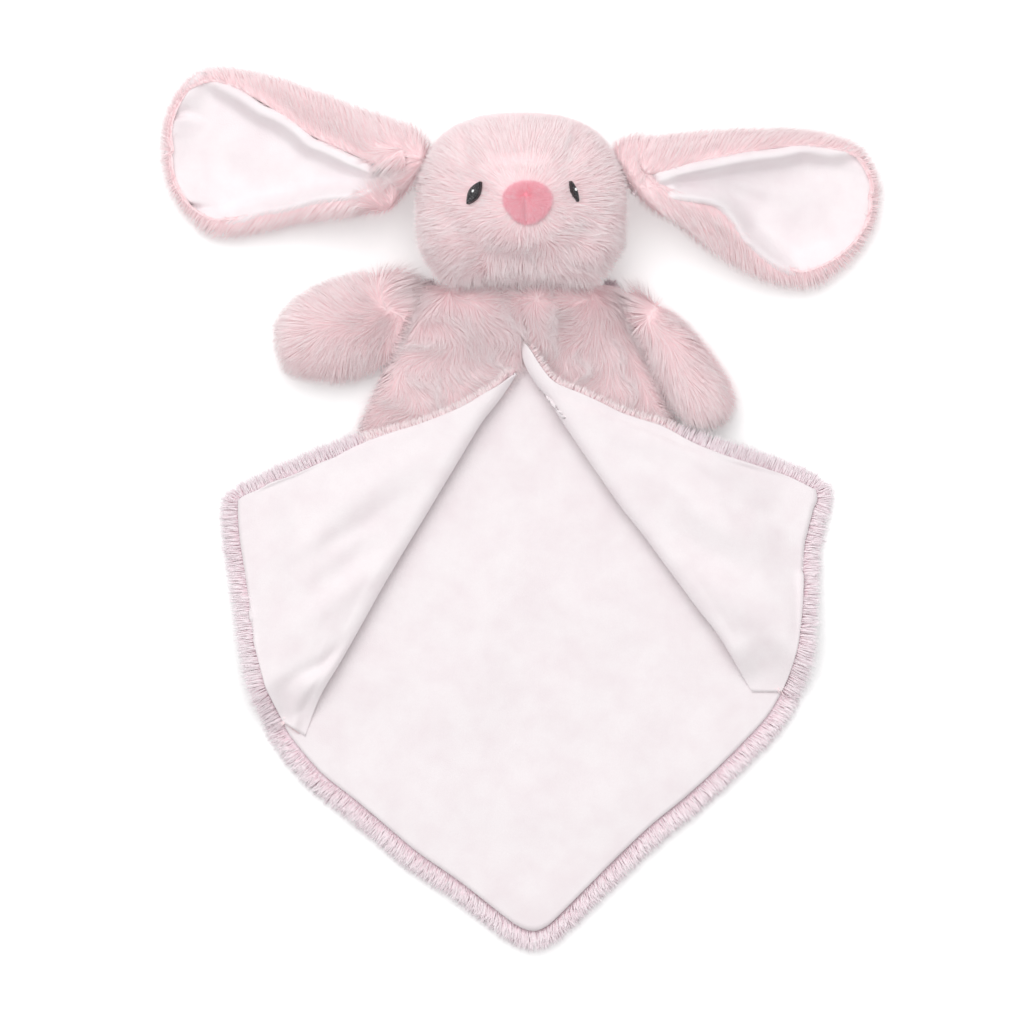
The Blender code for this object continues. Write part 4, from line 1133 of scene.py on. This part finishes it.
class Blanket(Part):
    """The square's back panel: plush below, velour above, and the pile that fringes its hem."""

    FOLDS = (
        Fold(((600, 640), (650, 665), (700, 690)), 13, -1.6),
        Fold(((470, 530), (482, 522), (496, 530)), 3, -0.6),
        Fold(((560, 560), (590, 640), (600, 720)), 16, 1.6),
        Fold(((470, 620), (440, 720), (430, 800)), 15, 1.6),
        Fold(((520, 640), (515, 740), (530, 840)), 12, -1.4),
        Fold(((640, 720), (620, 780), (590, 850)), 12, 1.4),
        Fold(((380, 700), (360, 740), (350, 780)), 9, -1.0),
    )
    MIDDLE = (522, 600)
    FACE_TOP = 6.9 * MM
    BACK_TOP = 5.0 * MM
    BORDER = 4.2 * MM

    def patch(self, grown: float = 0.0) -> Patch:
        """The panel's plan, with its hem moved out."""
        middle = spot(*self.MIDDLE)
        hem = [spot(*point) for point in BOTTOM_HEM]
        hem = [point + (point - middle).normalized() * grown for point in hem]
        right = [spot(*point) for point in PLANS[Side.RIGHT].body[:-1]] + [hem[0]]
        left = [spot(*point) for point in PLANS[Side.LEFT].body[:-1]] + [hem[-1]]
        return Patch(Line([right[0], left[0]]), Line(hem), Line(right), Line(left))

    def build(self) -> None:
        """Builds the back with its pile and the face."""
        patch = self.patch(self.BORDER)
        bm = bent_grid((64, 72), lambda across, along: Vector((*patch.at(across, along), self.BACK_TOP)))
        thicken(bm, 3.0 * MM)
        # The border backing's greyer colour is painted shade, like the hem pile's
        back = to_object(bm, "blanket_back_skin", self.finishes["border"])
        self.keep(back, "plush", "blanket_back_plush")
        hem, middle = patch.bottom, spot(*self.MIDDLE)

        def lower(place: Vector, normal: Vector, _: int) -> Lock:
            out = Vector((*(place.xy - middle), 0.0)).normalized()
            density = 1.0 if normal.z < -0.7 else 0.0
            return density, 0.4, 0.5, lies_along(out, normal) * 2.5

        sides = [Line.from_picture(PLANS[side].body) for side in Side]

        def fringe(place: Vector, normal: Vector, _: int) -> Lock:
            distance = hem.nearest(place.xy)[0]
            edge = min(side.nearest(place.xy)[0] for side in sides)
            is_hem = distance < 3.0 * MM
            if normal.z > 0.85 and distance < self.BORDER + 1.0 * MM:
                return 0.3, 0.7, 0.8, Vector((*(place.xy - middle), 0.0)).normalized() * 2.2
            if abs(normal.z) > 0.85 or (not is_hem and edge > 3.0 * MM):
                return BARE
            out = flat(normal).normalized() if flat(normal).length > 0.1 else Vector((0, 0, 0))
            return 1.0, 1.0 if is_hem else 0.6, 1.0, out * 0.4 + Vector((0.0, 0.0, 0.1))

        under = Pile(length=8.0 * MM, per_square_mm=0.3, width=2.0 * MM)
        self.cover(back, "blanket_back_pile", under, lower, 61)
        edge = Pile(length=6.8 * MM, per_square_mm=3.3, width=0.74 * MM, scatter=0.4, bend=0.3, pull=0.25,
                    waver=1.0 * MM, is_bent=True)
        self.cover(back, "blanket_hem_pile", edge, fringe, 67, "hem")
        self.lay(back, PANEL_CUT, "laid")
        self.build_face(back)

    def build_face(self, back: bpy.types.Object) -> None:
        """The velour face, with soft swells and a rounded hem."""
        patch, relief = self.patch(), Relief(self.FOLDS)

        def place(across: float, along: float) -> Vector:
            at = patch.at(across, along)
            shown = math.sin(math.pi * across) ** 0.5 * ramp(along, 0.3, 0.5) if 0 < across < 1 else 0.0
            swell = 1.2 * MM * noise.noise(Vector((at.x, at.y, 0.0)) / (34 * MM)) * shown
            hem = ramp(along, 0.965, 1.0)
            z = self.FACE_TOP + 1.4 * MM * shown + swell + relief.at(at) * shown
            return Vector((*at, max(z, 6.8 * MM) - 0.5 * MM * hem))

        piece = self.cloth(bent_grid((92, 108), place), 3, 1.3 * MM, "blanket_face_velour_sheet", "velour",
                           "blanket_face_velour")
        self.lay(piece, PANEL_CUT, "laid", [back.name])


class Cape(Part):
    """One side of the blanket's upper part, folded over the body: plush outside, velour inside."""

    TUCK = 3.5 * MM
    INSET = 3.6 * MM
    ROLL = 7.0 * MM
    LINING_TOP = 12.6 * MM

    def sink(self, at: Vector, z: float, low: float) -> float:
        """Lets a layer come down to the panel at the foot of the fold."""
        foot = spot(*PLANS[self.side].foot[0]).lerp(spot(*PLANS[self.side].foot[1]), 0.5)
        share = ramp(30 * MM - (at - foot).length, 0.0, 22 * MM)
        return z + (min(low, z) - z) * share

    def patch(self) -> Patch:
        """The plan from the neck to the foot, between the seam with the fold and the body's side."""
        plan = PLANS[self.side]
        seam_top = Vector((self.sign * WELD, NECK_Y))
        meet = spot(521, 366)
        fold, inner = Line.from_picture(plan.fold), [seam_top, seam_top.lerp(meet, 0.5), meet]
        for step in range(3, 25):
            inner.append(fold.at(step / 24) + fold.aside(step / 24) * self.sign * self.TUCK)
        body = Line.from_picture(plan.body)
        return Patch(Line([seam_top, body.at(0)]), Line([inner[-1], body.at(1)]), Line(inner, False), body)

    def build(self) -> None:
        """Builds the plush with its pile, and the lining."""
        label, sign, patch = self.label, self.sign, self.patch()
        outside = Probe(f"{label}_cape_plush")

        def outer(across: float, along: float) -> Vector:
            at = patch.at(across, along**0.8)
            held = Vector((sign * max(abs(at.x), 0.8 * MM), min(at.y, NECK_Y - 1.0 * MM)))
            crease = 0.8 * MM * bell(at.x, 3.0 * MM) * ramp(at.y, spot(0, 372).y, spot(0, 350).y)
            return Vector((*at, self.sink(at, outside.top(held, 12 * MM) - self.INSET - crease, 8.3 * MM)))

        skin = self.cloth(bent_grid((54, 96), outer), 5, 1.2 * MM, f"{label}_cape_skin", "backing",
                          f"{label}_cape_plush")
        flap_edge, rolled = (Line.from_picture(points) for points in (PLANS[self.side].top_hem, PLANS[self.side].fold))
        shoulder = spot(*PLANS[self.side].body[0])
        body_side = Line.from_picture(PLANS[self.side].body)

        def chest(place: Vector, normal: Vector, _: int) -> Lock:
            distance, near, _ = flap_edge.nearest(place.xy)
            covered = place.y < near.y and distance > 4 * MM
            if normal.z < -0.2 or covered or (place.y < spot(0, 373).y and abs(place.x) < 7 * MM):
                return BARE
            swirl = noise.noise(Vector((place.x, place.y, 0.0)) / (16 * MM) + Vector((3.7, 1.2, 0.0))) * 2.2
            out = ramp(abs(place.x), 22 * MM, 60 * MM)
            angle = math.radians(-95 - sign * 35 * (1.0 - 1.4 * out)) + swirl
            lie = Vector((math.cos(angle), math.sin(angle), 0.0))
            upright = ramp(place.y, NECK_Y - 11 * MM, NECK_Y - 2 * MM) * ramp(46 * MM - abs(place.x), 0.0, 14 * MM)
            lie = lies_along(lie * (1.0 - upright) + Vector((0.0, upright, upright * 0.5)), normal)
            corner = ramp(16 * MM - (place.xy - shoulder).length, 0.0, 8 * MM)
            corner = max(corner, 0.8 * ramp(7 * MM - body_side.nearest(place.xy)[0], 0.0, 4 * MM))
            lie = lies_along(lie * (1.0 - corner) + Vector((sign, -0.1, 0.3)) * corner, normal)
            reach = (1.0 if distance > 5 * MM else 0.75) + 0.1 * upright + 0.5 * corner
            return 1.0, reach, 0.9, lie * (2.3 - 1.5 * upright)

        def hidden(place: Vector, normal: Vector, _: int) -> Lock:
            distance, near, _ = flap_edge.nearest(place.xy)
            covered = place.y < near.y and distance > 8 * MM and rolled.nearest(place.xy)[0] > 12 * MM
            density = 1.0 if covered and normal.z > 0.5 else 0.0
            return density, 0.3, 0.5, Vector((sign * 0.8, -0.8, 0.0)) * 1.4

        front = Pile(length=7.2 * MM)
        self.cover(skin, f"{label}_chest_pile", front, chest, 71)
        under = Pile(length=7.0 * MM, per_square_mm=0.8, width=1.2 * MM)
        self.cover(skin, f"{label}_cape_pile", under, hidden, 73)
        self.lay(skin, CAPE_CUT, "folded", ["blanket_face_velour_sheet"])
        lining, above = Probe(f"{label}_cape_lining"), Probe(f"{label}_flap_velour")

        def inner(across: float, along: float) -> Vector:
            at = patch.at(across**1.5, along)
            z = lining.top(at, 8.0 * MM)
            z -= 2.0 * MM * ramp(z, 14 * MM, 24 * MM)
            if at.y > spot(0, 345).y:
                z = min(z, outside.top(at, 12 * MM) - 7.0 * MM)
            if at.y < spot(0, 374).y:
                z = min(z, above.top(at, 12 * MM) - 4.2 * MM)
            distance = rolled.nearest(at)[0]
            if at.y < spot(0, 380).y and distance < self.ROLL:
                z = min(z + rounded(distance, self.ROLL), self.LINING_TOP)
            return Vector((*at, self.sink(at, z, 7.2 * MM)))

        piece = self.cloth(bent_grid((54, 110), inner), 2, 1.0 * MM, f"{label}_cape_lining_velour", "velour",
                           f"{label}_cape_lining")
        self.lay(piece, CAPE_CUT, "folded", ["blanket_face_velour_sheet"])


class Flap(Cape):
    """One free front edge of the blanket, turned back: velour above, plush below, with a fringed hem."""

    ROLL = 6.6 * MM
    BORDER = 2.6 * MM
    MIDDLES = {Side.RIGHT: (360, 540), Side.LEFT: (705, 530)}
    AXIS_Z = 14.05 * MM
    FOLDS = {
        Side.RIGHT: (
            Fold(((358, 634), (335, 655), (318, 667), (298, 676), (276, 694)), 3.6, -3.4),
            Fold(((352, 640), (333, 665), (314, 690), (302, 710), (280, 724), (270, 740)), 2.4, -1.8),
            Fold(((345, 668), (325, 680), (303, 695), (296, 715), (292, 728), (288, 752)), 4.5, 3.2),
            Fold(((385, 530), (350, 565), (318, 592), (290, 604)), 7.0, -2.6),
            Fold(((395, 560), (365, 575), (330, 600), (300, 630)), 7.0, 2.2),
            Fold(((440, 455), (400, 470), (350, 500), (300, 520)), 9.0, 2.6),
            Fold(((345, 510), (305, 545), (265, 570)), 7.0, 2.0),
            Fold(((400, 500), (345, 535), (300, 560)), 5.0, -2.0),
            Fold(((275, 505), (270, 520), (280, 530)), 5.0, -1.2),
        ),
        Side.LEFT: (
            Fold(((655, 452), (672, 456), (690, 462), (710, 480), (722, 494), (735, 505), (760, 514), (800, 502)),
                 5.0, -2.0),
            Fold(((640, 470), (675, 485), (700, 510), (730, 530), (770, 535)), 8.0, 2.6),
            Fold(((650, 515), (700, 550), (750, 570), (790, 575)), 8.0, -2.2),
            Fold(((690, 560), (720, 590), (760, 615), (790, 620)), 9.0, 2.4),
            Fold(((720, 625), (750, 640), (780, 650)), 7.0, -1.8),
            Fold(((600, 420), (640, 440), (700, 465), (760, 480)), 7.0, 2.0),
        ),
    }

    def build(self) -> None:
        """Builds the velour sheet, the plush below it and the fringe."""
        plan, label = PLANS[self.side], self.label
        fold, top = Line.from_picture(plan.fold), Line.from_picture(plan.top_hem)
        side_hem = Line.from_picture(plan.side_hem)
        patch = Patch(top, Line.from_picture(plan.foot), fold, side_hem)
        middle = spot(*self.MIDDLES[self.side])

        def grown(line: Line, start: float) -> Line:
            points = [(point, ramp(start + index / LINE_SAMPLES, 0.3, 0.7)) for index, point in enumerate(line.points)]
            return Line([point + (point - middle).normalized() * share * self.BORDER for point, share in points[::8]])

        wide_top, wide_side = grown(top, 0.0), grown(side_hem, 1.0)
        wide = Patch(wide_top, Line([fold.at(1), wide_side.at(1)]), fold, wide_side)
        outside = Probe(f"{label}_flap_velour")
        relief = Relief(self.FOLDS[self.side])

        def level(depth: float) -> Place:
            def place(across: float, along: float) -> Vector:
                at = (wide if depth else patch).at(across**1.6, along**1.25 * (0.97 if depth else 1.0))
                distance, near, share = fold.nearest(at)
                inward = fold.aside(share) * self.sign
                if (at - near).dot(inward) < 0:
                    distance = across * 3 * MM
                    at = near + inward * distance
                hem = min(top.nearest(at)[0], side_hem.nearest(at)[0])
                bulge = relief.at(at) * ramp(distance, 1 * MM, 7 * MM) * ramp(hem, 0.0, 6 * MM)
                z = outside.top(at + inward * max(self.ROLL - distance, 0.0), 20 * MM) - depth
                if distance < self.ROLL:
                    z = max(z - rounded(distance, self.ROLL), 0.0) if across else self.AXIS_Z
                z = max(self.sink(at, z, 10.6 * MM - depth) + bulge, min(z, 9.2 * MM - depth))
                z -= 2.2 * MM * ramp(along, 0.92, 1.0)
                if depth:
                    tucked = ramp(5 * MM - distance, 0.0, 5 * MM) * 2.6 * MM
                    at = at + fold.aside(along**1.25) * self.sign * tucked
                return Vector((*at, max(z, 1.0 * MM)))
            return place

        velour = self.cloth(bent_grid((84, 110), level(0.0)), 3, 1.3 * MM, f"{label}_flap_velour_sheet", "velour",
                            f"{label}_flap_velour")
        skin = self.cloth(bent_grid((50, 70), level(2.4 * MM)), 3, 1.2 * MM, f"{label}_flap_skin", "border",
                          f"{label}_flap_plush")

        def hem_lie(place: Vector, normal: Vector, wants_chest: bool) -> Lock:
            on_side, on_top = side_hem.nearest(place.xy), top.nearest(place.xy)
            is_top = on_top[0] < on_side[0]
            distance, _, share = on_top if is_top else on_side
            if distance > self.BORDER + 0.8 * MM:
                return BARE
            out = Vector((*(top if is_top else side_hem).aside(share), 0.0))
            if out.dot(Vector((self.sign, 0.35, 0.0))) < 0:
                out = -out
            over_chest = is_top and share < 0.55
            reach = (0.42 if over_chest else 0.7) if is_top else 0.8 + 0.2 * ramp(share, 0.5, 0.9)
            density = (0.3 if normal.z > 0.6 else 1.0) if over_chest == wants_chest else 0.0
            return density, reach, 0.25 if over_chest else 0.8, out * (2.2 if normal.z > 0.6 else 1.3)

        def fringe(place: Vector, normal: Vector, _: int) -> Lock:
            return hem_lie(place, normal, False)

        def chest_fringe(place: Vector, normal: Vector, _: int) -> Lock:
            return hem_lie(place, normal, True)

        def lower(place: Vector, normal: Vector, _: int) -> Lock:
            density = 1.0 if normal.z < -0.4 else 0.0
            return density, 0.6, 0.5, lies_along(Vector((self.sign, -0.4, 0.0)), normal) * 1.4

        edge = Pile(length=6.8 * MM, per_square_mm=5.0, width=0.62 * MM, scatter=0.36, bend=0.25, pull=0.25,
                    waver=1.0 * MM, is_bent=True)
        under = Pile(length=6.0 * MM, per_square_mm=0.4, width=1.7 * MM)
        self.cover(skin, f"{label}_flap_hem_pile", edge, fringe, 83, "hem")
        self.cover(skin, f"{label}_flap_edge_pile", edge, chest_fringe, 97)
        self.cover(skin, f"{label}_flap_pile", under, lower, 89)
        self.lay(velour, FLAP_CUT, "folded", [skin.name])
        self.lay(skin, FLAP_CUT, "folded", [f"{label}_cape_skin"])


class Torso(Part):
    """The pad of fibre inside the chest."""

    def build(self) -> None:
        """A smooth pad in the place of the frame's filling, which the cape hides."""
        piece = wrapped("torso_pad", ("torso_filling",), self.finishes["fibre"], 6.5 * MM)
        self.keep(piece, "filling", "torso_filling")


@dataclass(frozen=True)
class Studio:
    """A pale floor, soft light from above and from the head's end, and a camera straight above."""

    camera_height: float = 16.0
    sensor: float = 36.0
    floor_size: float = 8.0
    floor_colour: str = "fafafa"
    floor_glow: float = 0.25
    sky: float = 0.58
    lamp_size: float = 2.4
    lamp_power: float = 50.0
    lamp_place: tuple[float, float, float] = (-0.35, 1.1, 2.6)

    def build(self) -> None:
        """Builds the floor, the lights and the camera."""
        self.build_floor()
        self.build_light()
        frame_width = PICTURE_SIZE * PIXEL
        data = bpy.data.cameras.new("camera")
        data.sensor_width = self.sensor
        data.lens = self.sensor * self.camera_height / frame_width
        data.clip_end = 50.0
        camera = bpy.data.objects.new("camera", data)
        camera.location = (*spot(*PICTURE_MIDDLE), self.camera_height)
        bpy.context.scene.collection.objects.link(camera)
        bpy.context.scene.camera = camera
        bpy.context.scene.view_settings.view_transform = "Standard"

    def build_floor(self) -> None:
        """A white floor that shows white to the camera and keeps the toy's shadow."""
        bm = bmesh.new()
        bmesh.ops.create_grid(bm, x_segments=1, y_segments=1, size=self.floor_size / 2)
        made = bpy.data.materials.new("white studio floor")
        made.use_nodes = True
        tree = made.node_tree
        shader = tree.nodes["Principled BSDF"]
        shader.inputs["Base Color"].default_value = linear(self.floor_colour)
        shader.inputs["Roughness"].default_value = 0.9
        shader.inputs["Specular IOR Level"].default_value = 0.0
        path = add(tree, "ShaderNodeLightPath")
        shader.inputs["Emission Color"].default_value = (1.0, 1.0, 1.0, 1.0)
        seen = path.outputs["Is Camera Ray"]
        for ray in ("Is Glossy Ray", "Is Transmission Ray"):
            seen = add(tree, "ShaderNodeMath", {0: seen, 1: path.outputs[ray]}, operation="MAXIMUM").outputs[0]
        glow = add(tree, "ShaderNodeMath", {0: seen, 1: self.floor_glow}, operation="MULTIPLY")
        tree.links.new(glow.outputs[0], shader.inputs["Emission Strength"])
        to_object(bm, "floor", made)

    def build_light(self) -> None:
        """A pale sky all round, and one large soft lamp above the head's end."""
        world = bpy.data.worlds.new("studio")
        bpy.context.scene.world = world
        world.use_nodes = True
        background = world.node_tree.nodes["Background"]
        background.inputs["Color"].default_value = (1.0, 1.0, 1.0, 1.0)
        background.inputs["Strength"].default_value = self.sky
        lamp = bpy.data.lights.new("softbox", "AREA")
        lamp.shape = "SQUARE"
        lamp.size = self.lamp_size
        lamp.energy = self.lamp_power
        holder = bpy.data.objects.new("softbox", lamp)
        holder.location = self.lamp_place
        holder.rotation_euler = (-Vector(self.lamp_place)).to_track_quat("-Z", "Y").to_euler()
        bpy.context.scene.collection.objects.link(holder)


def build_finishes() -> Finishes:
    """The materials by the names that the parts ask for."""
    return {
        # Silky long pile, pale pink: the toy's colour
        "plush": PlushFinish("pale pink plush pile", 0.72, 0.25).material(),
        # The blanket's pile seen from its side: a greyer copy of the plush, whose greyness is painted shade of the
        # fringe
        "hem": PlushFinish("plush pile of the hem", 0.75, 0.2, root="f7dde5", tip="fffafc", warm="fbeef3").material(),
        # The knitted ground under the pile
        "backing": BackingFinish("plush backing", 0.9).material(),
        # The same at the blanket's border, greyer like the hem's pile: painted shade
        "border": BackingFinish("plush backing of the hem", 0.9, colour="f6e6ec", dark="f0dbe3").material(),
        # The white face and the ears' lining
        "velour": VelourFinish("off-white velour", 0.88, 0.3).material(),
        # The nose
        "nose": VelourFinish("rose nose velour", 0.85, 0.3, colour="ffa8b8", shade="fb9bad").material(),
        # Its deeper roots are painted shade in the nap
        "nap": PlushFinish("short nap of the nose", 0.8, 0.3, root="ffabbb", tip="ffdde4", warm="ffc4cf").material(),
        # Satin stitches of the eyes
        "black": ThreadFinish("black satin stitch", 0.42, 0.0, 0.5).material(),
        # The glints
        # Its painted highlights are as white as the thread
        "white": ThreadFinish("white satin stitch", 0.5, 0.0, 0.4, colour="ffffff", light="f2f2f2",
                             worn="ffffff").material(),
        # Fibre inside the chest
        "fibre": VelourFinish("white fibre filling", 0.9, 0.2, colour="f4f4f2", shade="e8e8e6").material(),
    }


def main() -> None:
    """Builds the toy and the studio."""
    logging.basicConfig(level=logging.INFO, format="%(message)s")
    noise.seed_set(SWIRL_SEED)
    finishes = build_finishes()
    Blanket("blanket", finishes).build()
    Torso("blanket", finishes).build()
    for side in Side:
        Cape("blanket", finishes, side).build()
        Flap(f"{side.label}_flap", finishes, side).build()
        Ear(f"{side.label}_ear", finishes, side).build()
        Arm(f"{side.label}_arm", finishes, side).build()
    Head("head", finishes).build()
    Studio().build()


if __name__ == "__main__":
    main()
